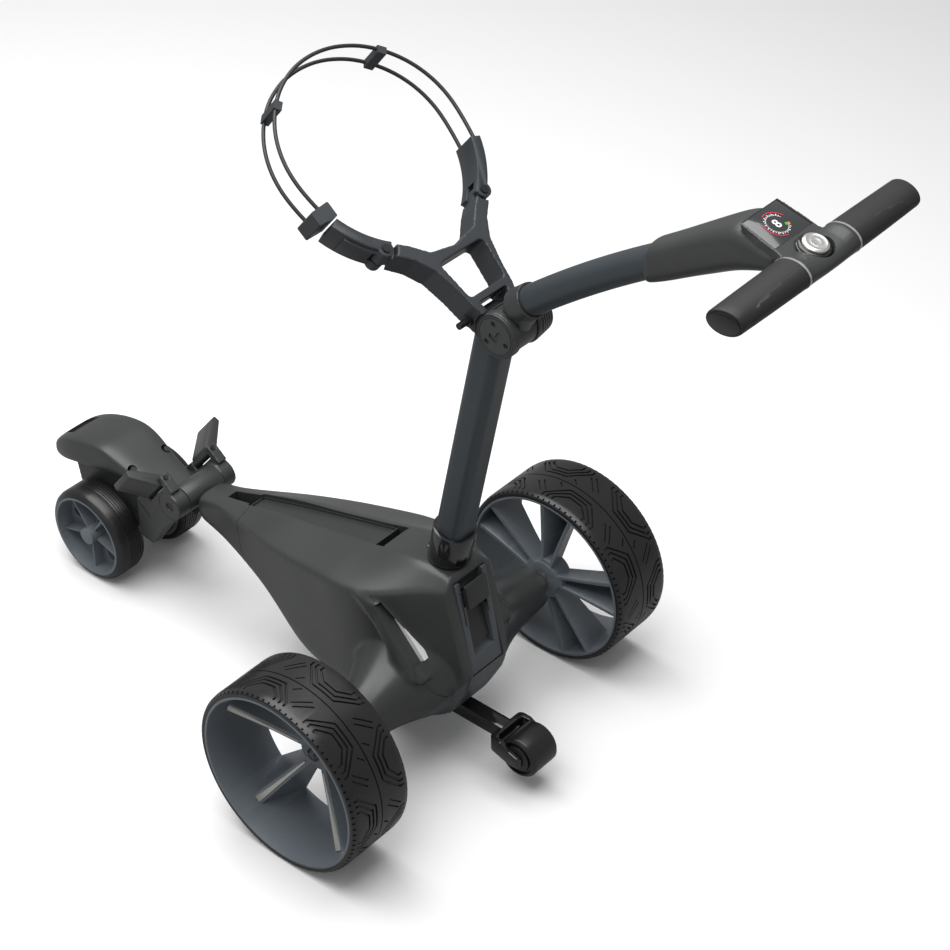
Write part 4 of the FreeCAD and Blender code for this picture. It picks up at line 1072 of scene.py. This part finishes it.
# Cover of the handle hinge and its screws, (along, radius); then the hollow in it, (y, z).
HUB_PROFILE = [
    (0, 28.0), (2.2, 28.0), (3.0, 27.3), (3.0, 25.9), (2.3, 25.7), (2.3, 25.1), (3.2, 24.9),
    (3.2, 23.2), (2.6, 23.0), (2.6, 22.3), (3.6, 22.1), (3.9, 14.0), (4.0, 4.0), (4.0, 0.01),
]
HUB_SCREW_PROFILE = [(0, 2.6), (1.2, 2.6), (1.6, 2.1), (1.6, 1.1), (0.6, 0.9), (0.6, 0.01)]
HUB_SCREW_WELL = [(0, 3.3), (4, 3.3)]
HUB_SCREW_TURNS = (80, 200, 320)
HUB_SCREW_CIRCLE = 16
HUB_FACE = -24
HUB_WELLS_FACE = -29.5
HUB_SCREWS_FACE = -25.3
HUB_HOLLOW_REACH = (-30, -26.4)
HUB_HOLLOW = [(-9, 7), (-4, 8), (1, -1), (8, 3), (9, -3), (1, -8), (-2, -6), (-6, 1)]


def hub_spots(x):
    """The three screw places of the hub cover, at a distance from the middle plane."""
    return [
        HUB + Vector((x * MM, 0, 0)) + HUB_SCREW_CIRCLE * MM * Vector(
            (0, math.cos(math.radians(turn)), math.sin(math.radians(turn))))
        for turn in HUB_SCREW_TURNS]


class TROLLEY_OT_stem(bpy.types.Operator):
    """Stem tube, collar and the handle hinge"""
    bl_idname = "trolley.stem"
    bl_label = "Stem and hinge"

    def execute(self, context):
        skin("stem_tube", "tube")
        skin("stem_collar", "gloss", 0.0006)
        skin("stem_head", "shell", melt=(1.0 * MM, 4, 60000))
        skin("hinge_knob", "shell", 0.0005)
        skin("handle_elbow", "shell", melt=(1.0 * MM, 5, 80000))
        self.hub_cover()
        return {"FINISHED"}

    def hub_cover(self):
        """Round cover with fine rings, three screws and an arrow-shaped hollow."""
        cover = turned("hub_cover", HUB_PROFILE, HUB + X_AXIS * HUB_FACE * MM, (-1, 0, 0), 72)
        for spot in hub_spots(HUB_WELLS_FACE):
            cut_away(cover, turned("screw_well", HUB_SCREW_WELL, spot, (1, 0, 0), 24))
        cut_away(cover, lofted("arrow", [
            [HUB + Vector((x * MM, y * MM, z * MM)) for y, z in HUB_HOLLOW]
            for x in HUB_HOLLOW_REACH]))
        finish_piece(cover, "stem", "shell", node="hub_cap", degrees=28)
        screws = join([turned("hub_screw", HUB_SCREW_PROFILE, spot, (-1, 0, 0), 24)
                       for spot in hub_spots(HUB_SCREWS_FACE)], "hub_cover_screws")
        finish_piece(screws, "stem", "dark_steel", degrees=32)


# Neck of the handle: y, half width, lowest and highest z, millimetres.
NECK = [
    (-294, 20.5, 814, 862), (-300, 21.5, 815, 866), (-325, 22.5, 828, 883),
    (-352, 25, 845, 902), (-385, 29, 864, 925), (-408, 33, 878, 940), (-425, 35, 886, 940),
    (-448, 36, 896, 934), (-470, 37, 904, 927),
]
BAR_CENTRE = (-489, 922)
# Middle of the bar: x, half sizes along Y and Z, and how far it sags.
BAR_SECTIONS = [
    (-41.7, 21.6, 15.6, 0), (-38, 21.6, 15.4, 0), (-26, 21, 13.6, 1.6), (-10, 21, 12.6, 2.6),
    (10, 21, 12.6, 2.6), (26, 21, 13.6, 1.6), (38, 21.6, 15.4, 0), (41.7, 21.6, 15.6, 0),
]
# Grip and its end plate: x, how much thinner than the full oval, and the slant of the section.
GRIP_HALF = (21.5, 15.5)
GRIP_SECTIONS = [
    (44.5, 0, 0), (60, 0.1, 0), (80, 0.3, 0), (100, 0.5, 0), (120, 0.8, 0.02), (140, 1.1, 0.05),
    (152, 1.3, 0.1), (153.6, 1.7, 0.1), (154.2, 2.4, 0.1),
]
GRIP_END = [(153.5, 4.2, 0.1), (154.9, 4.2, 0.1), (155.2, 5.0, 0.1)]
# Panel line of a grip: millimetres from the middle plane, angle round the bar in degrees.
GRIP_LINE = [
    (43, 112), (60, 114), (80, 117), (100, 121), (114, 127), (124, 137), (129, 150), (131, 170),
    (131, 200), (130, 225),
]
GRIP_LINE_HALF = (21, 15)
GRIP_LINE_LEAN = 0.5
# The line's section: round the bar, and out of it.
GRIP_LINE_SECTION = [(-0.9, 3), (0.9, 3), (0.6, -1.2), (-0.6, -1.2)]
# Display surround and its recess, (across, forward) in the display plane.
POD_FOOT = [
    (-40, -24), (40, -24), (33, -4), (32, 20), (28, 45), (-28, 45), (-32, 20), (-33, -4)]
POD_TOP = [
    (-41, -24), (41, -24), (34.5, -3), (34, 20), (32, 47.5), (-32, 47.5), (-34, 20), (-34.5, -3)]
RECESS = [(-31.3, 2.7), (31.3, 2.7), (29.3, 46.7), (-29.3, 46.7)]
SPEED_WELL = [(0, 19.6), (14, 19.6)]
DIAL_TILT = math.radians(16)
DIAL_BACK = Vector((0, -math.cos(DIAL_TILT), -math.sin(DIAL_TILT)))
DIAL_OUT = Vector((0, -math.sin(DIAL_TILT), math.cos(DIAL_TILT)))
DIAL_EDGE = at(0, -463, 931)
SPEED_FOOT = at(0, -482.8, 925.2)


def on_dial(across, forward, out=0.0):
    """A point of the display plane, millimetres from the middle of its rear edge."""
    return DIAL_EDGE + X_AXIS * across * MM - DIAL_BACK * forward * MM + DIAL_OUT * out * MM


def dial_frame(forward, out):
    """Matrix whose X runs across the display, Y up it and Z out of it."""
    place = Matrix.Translation(on_dial(0, forward, out))
    turn = Matrix((X_AXIS, -DIAL_BACK, DIAL_OUT)).transposed().to_4x4()
    return place @ turn


def dial_arc(name, inner, outer, first, last, matrix, rise=0.12):
    """A raised arc between two angles in degrees, from a flat ring."""
    deselect()
    bpy.ops.mesh.primitive_circle_add(vertices=90, radius=outer * MM)
    arc = bpy.context.object
    arc.name = name
    edit(arc, True)
    bpy.ops.mesh.extrude_region_move()
    bpy.ops.transform.resize(value=(inner / outer,) * 3, center_override=(0, 0, 0))
    pick_faces(arc, lambda c, n: not (
        (math.degrees(math.atan2(c.y, c.x)) - first) % 360 < (last - first)))
    bpy.ops.mesh.delete(type="FACE")
    bpy.ops.mesh.select_all(action="SELECT")
    bpy.ops.mesh.extrude_region_move(TRANSFORM_OT_translate={"value": (0, 0, rise * MM)})
    bpy.ops.mesh.select_all(action="SELECT")
    bpy.ops.mesh.normals_make_consistent(inside=False)
    leave()
    arc.data.transform(matrix)
    return arc


class TROLLEY_OT_handle(bpy.types.Operator):
    """Upper tube, neck, bar and grips"""
    bl_idname = "trolley.handle"
    bl_label = "Handle"

    def execute(self, context):
        skin("upper_tube", "tube")
        self.neck()
        for side, name in ((1, "right"), (-1, "left")):
            self.grip(side, name)
        skin("bar_bands", "silver")
        return {"FINISHED"}

    def grip(self, side, name):
        """Oval grip with a sunk panel line and a glossy end plate."""
        def rings(sections, count):
            deep, tall = GRIP_HALF
            return [oval(side * x, *BAR_CENTRE, deep - shrink, tall - shrink, count, side * slant)
                    for x, shrink, slant in sections]
        grip = lofted("grip", rings(GRIP_SECTIONS, 48))
        line = []
        for x, angle in GRIP_LINE:
            turn = math.radians(angle)
            out = Vector((0, math.cos(turn), math.sin(turn)))
            around = Vector((GRIP_LINE_LEAN * side, -math.sin(turn), math.cos(turn)))
            spot = at(side * x, BAR_CENTRE[0] + GRIP_LINE_HALF[0] * math.cos(turn),
                      BAR_CENTRE[1] + GRIP_LINE_HALF[1] * math.sin(turn))
            line.append([spot + out * o * MM + around * a * MM for a, o in GRIP_LINE_SECTION])
        cut_away(grip, lofted("panel_line", line))
        finish_piece(grip, "handle", "grip", name + "_hand_grip",
                     name + "_grip", 30)
        plate = lofted("end_plate", rings(GRIP_END, 40))
        finish_piece(plate, "handle", "gloss", name + "_grip_end", degrees=30)

    def neck(self):
        """Neck, middle of the bar and display surround in one moulding, with two recesses."""
        rings = []
        for y, half, low, high in NECK:
            tall = high - low
            rings.append([at(x, y, z) for x, z in mirrored([
                (0, high), (half * 0.62, high - 0.02 * tall), (half * 0.97, high - 0.22 * tall),
                (half, low + 0.5 * tall), (half * 0.93, low + 0.2 * tall),
                (half * 0.6, low + 0.01 * tall), (0, low)])])
        neck = lofted("neck", rings, 2)
        centre_y, centre_z = BAR_CENTRE
        centre = lofted("bar_centre", [
            oval(x, centre_y, centre_z - drop, deep, tall, 24)
            for x, deep, tall, drop in BAR_SECTIONS])
        pod = lofted("pod", [
            [on_dial(*spot, -9) for spot in POD_FOOT], [on_dial(*spot, 0.6) for spot in POD_TOP]])
        housing = join([neck, centre, pod], "handle_neck")
        melted(housing, 1.2 * MM, 6, 110000)
        cut_away(housing, lofted("recess", [
            [on_dial(*spot, out) for spot in RECESS] for out in (-2.6, 6)]))
        cut_away(housing, turned("well", SPEED_WELL, SPEED_FOOT - DIAL_OUT * 0.3 * MM,
                                 DIAL_OUT, 64))
        finish_piece(housing, "handle", "shell",
                     node="display_housing", degrees=38)


# Dial marks: inner and outer radius in millimetres, first and last angle in degrees.
RED_ARCS = [(15.6, 16.6, 15, 110), (15.6, 16.6, 150, 262)]
INNER_ARC = (11.6, 12.0, 20, 330)
GREEN_MARK = (8.6, 11.0, 318, 338)
ORANGE_MARK = (11.4, 14.2, 322, 338)
TICKS = 26
TICK_LEFT_OUT = 12
TICK_START = 30
TICK_STEP = 11.2
TICK_WIDTH = 4.2
TICK_FOOT = 12.4
TICK_ENDS = (13.4, 14.3)
DIAL_MIDDLE = 24


class TROLLEY_OT_display(bpy.types.Operator):
    """Display glass with its generic dial"""
    bl_idname = "trolley.display"
    bl_label = "Display"

    def execute(self, context):
        skin("display_glass", "glass", 0.0005)
        matrix = dial_frame(DIAL_MIDDLE, 0.35)
        red = [dial_arc("red_arc", *arc, matrix) for arc in RED_ARCS]
        white = [dial_arc("inner_arc", *INNER_ARC, matrix)]
        for k in range(TICKS):
            start = TICK_START + TICK_STEP * k
            if k != TICK_LEFT_OUT:
                white.append(dial_arc(
                    "tick", TICK_FOOT, TICK_ENDS[k % 2], start, start + TICK_WIDTH, matrix))
        deselect()
        bpy.ops.object.text_add()
        digit = bpy.context.object
        digit.data.body = "8"
        digit.data.size = 15 * MM
        digit.data.align_x = "CENTER"
        digit.data.align_y = "CENTER"
        digit.data.extrude = 0.06 * MM
        digit.data.offset = 0.25 * MM
        bpy.ops.object.convert(target="MESH")
        digit = bpy.context.object
        digit.data.transform(dial_frame(DIAL_MIDDLE, 0.45))
        white.append(digit)
        marks = [
            ("dial_marks_red", red, "red"), ("dial_marks_white", white, "white"),
            ("dial_mark_green", [dial_arc("green", *GREEN_MARK, matrix)], "green"),
            ("dial_mark_orange", [dial_arc("orange", *ORANGE_MARK, matrix)], "orange"),
        ]
        for name, parts, finish in marks:
            finish_piece(join(parts, name), "handle", finish)
        return {"FINISHED"}


# Speed dial, (along, radius) from its foot.
SPEED_RING = [
    (0.3, 16.4), (0.6, 17.6), (2.2, 18.4), (4.4, 18.4), (5.0, 17.7), (5.6, 17.9), (7.2, 17.2),
    (8.0, 16.2), (8.2, 15.0), (7.2, 14.9), (4.0, 14.9), (4.0, 0.01),
]
SPEED_CAP = [
    (6.7, 14.2), (9.8, 14.2), (10.8, 13.7), (11.6, 12.4), (12.0, 11.0), (11.7, 10.2),
    (11.8, 6.0), (12.0, 5.2), (11.8, 4.4), (11.9, 0.01),
]


class TROLLEY_OT_speed_control(bpy.types.Operator):
    """Speed dial: glossy ring and silver cap with a soft relief"""
    bl_idname = "trolley.speed_control"
    bl_label = "Speed control"

    def execute(self, context):
        ring = turned("speed_dial_ring", SPEED_RING, SPEED_FOOT, DIAL_OUT)
        finish_piece(ring, "speed_ring", "gloss", node="speed_ring", degrees=30)
        cap = turned("speed_dial_cap", SPEED_CAP, SPEED_FOOT, DIAL_OUT)
        finish_piece(cap, "speed_cap", "silver", node="speed_cap", degrees=30)
        return {"FINISHED"}


class TROLLEY_OT_bag_ring(bpy.types.Operator):
    """Yoke and pads of the bag ring"""
    bl_idname = "trolley.bag_ring"
    bl_label = "Bag ring"

    def execute(self, context):
        skin("yoke", "yoke", melt=(1.2 * MM, 3, 110000))
        skin("left_pad", "yoke", 0.0008)
        skin("right_pad", "yoke", 0.0008)
        return {"FINISHED"}


class TROLLEY_OT_antitip(bpy.types.Operator):
    """Anti-tip arm and its wheel"""
    bl_idname = "trolley.antitip"
    bl_label = "Anti-tip wheel"

    def execute(self, context):
        skin("antitip_arm", "gloss", 0.0008)
        skin("antitip_wheel", "front_tyre", 0.0008)
        return {"FINISHED"}


class TROLLEY_OT_node_finishes(bpy.types.Operator):
    """Materials of the CAD parts that stay"""
    bl_idname = "trolley.node_finishes"
    bl_label = "Finishes"

    def execute(self, context):
        for name, node in frame["nodes"].items():
            node.data.materials.clear()
            finish = "dark_steel" if name in DARK_NODES else NODE_FINISH[SLOT_OF[name]]
            node.data.materials.append(MATERIALS[finish])
        return {"FINISHED"}


class TROLLEY_PT_panel(bpy.types.Panel):
    """Lists the trolley's pieces"""
    bl_label = "Golf trolley"
    bl_idname = "TROLLEY_PT_panel"
    bl_space_type = "VIEW_3D"
    bl_region_type = "UI"
    bl_category = "Trolley"

    def draw(self, context):
        for name, group in SETTINGS.items():
            for prop in group.__annotations__:
                self.layout.prop(getattr(context.scene, name), prop)
        for operator in OPERATORS:
            self.layout.operator(operator.bl_idname)


SETTINGS = {
    "trolley_stage": StageSettings,
    "trolley_finish": FinishSettings,
    "trolley_tyres": TyreSettings,
    "trolley_detail": DetailSettings,
}
OPERATORS = (
    TROLLEY_OT_stage, TROLLEY_OT_hoop_cords, TROLLEY_OT_body, TROLLEY_OT_rear_frame,
    TROLLEY_OT_battery, TROLLEY_OT_rear_wheels, TROLLEY_OT_front_wheels, TROLLEY_OT_carriage,
    TROLLEY_OT_stem, TROLLEY_OT_handle, TROLLEY_OT_display, TROLLEY_OT_speed_control,
    TROLLEY_OT_bag_ring, TROLLEY_OT_antitip, TROLLEY_OT_node_finishes,
)


def register():
    for group in SETTINGS.values():
        bpy.utils.register_class(group)
    for operator in OPERATORS:
        bpy.utils.register_class(operator)
    bpy.utils.register_class(TROLLEY_PT_panel)
    for name, group in SETTINGS.items():
        setattr(bpy.types.Scene, name, bpy.props.PointerProperty(type=group))


def unregister():
    for name in SETTINGS:
        delattr(bpy.types.Scene, name)
    bpy.utils.unregister_class(TROLLEY_PT_panel)
    for operator in reversed(OPERATORS):
        bpy.utils.unregister_class(operator)
    for group in reversed(SETTINGS.values()):
        bpy.utils.unregister_class(group)


def main():
    """Makes every piece in order."""
    register()
    make_materials(bpy.context.scene.trolley_finish)
    for operator in OPERATORS:
        group, name = operator.bl_idname.split(".")
        getattr(getattr(bpy.ops, group), name)()


if __name__ == "__main__":
    main()
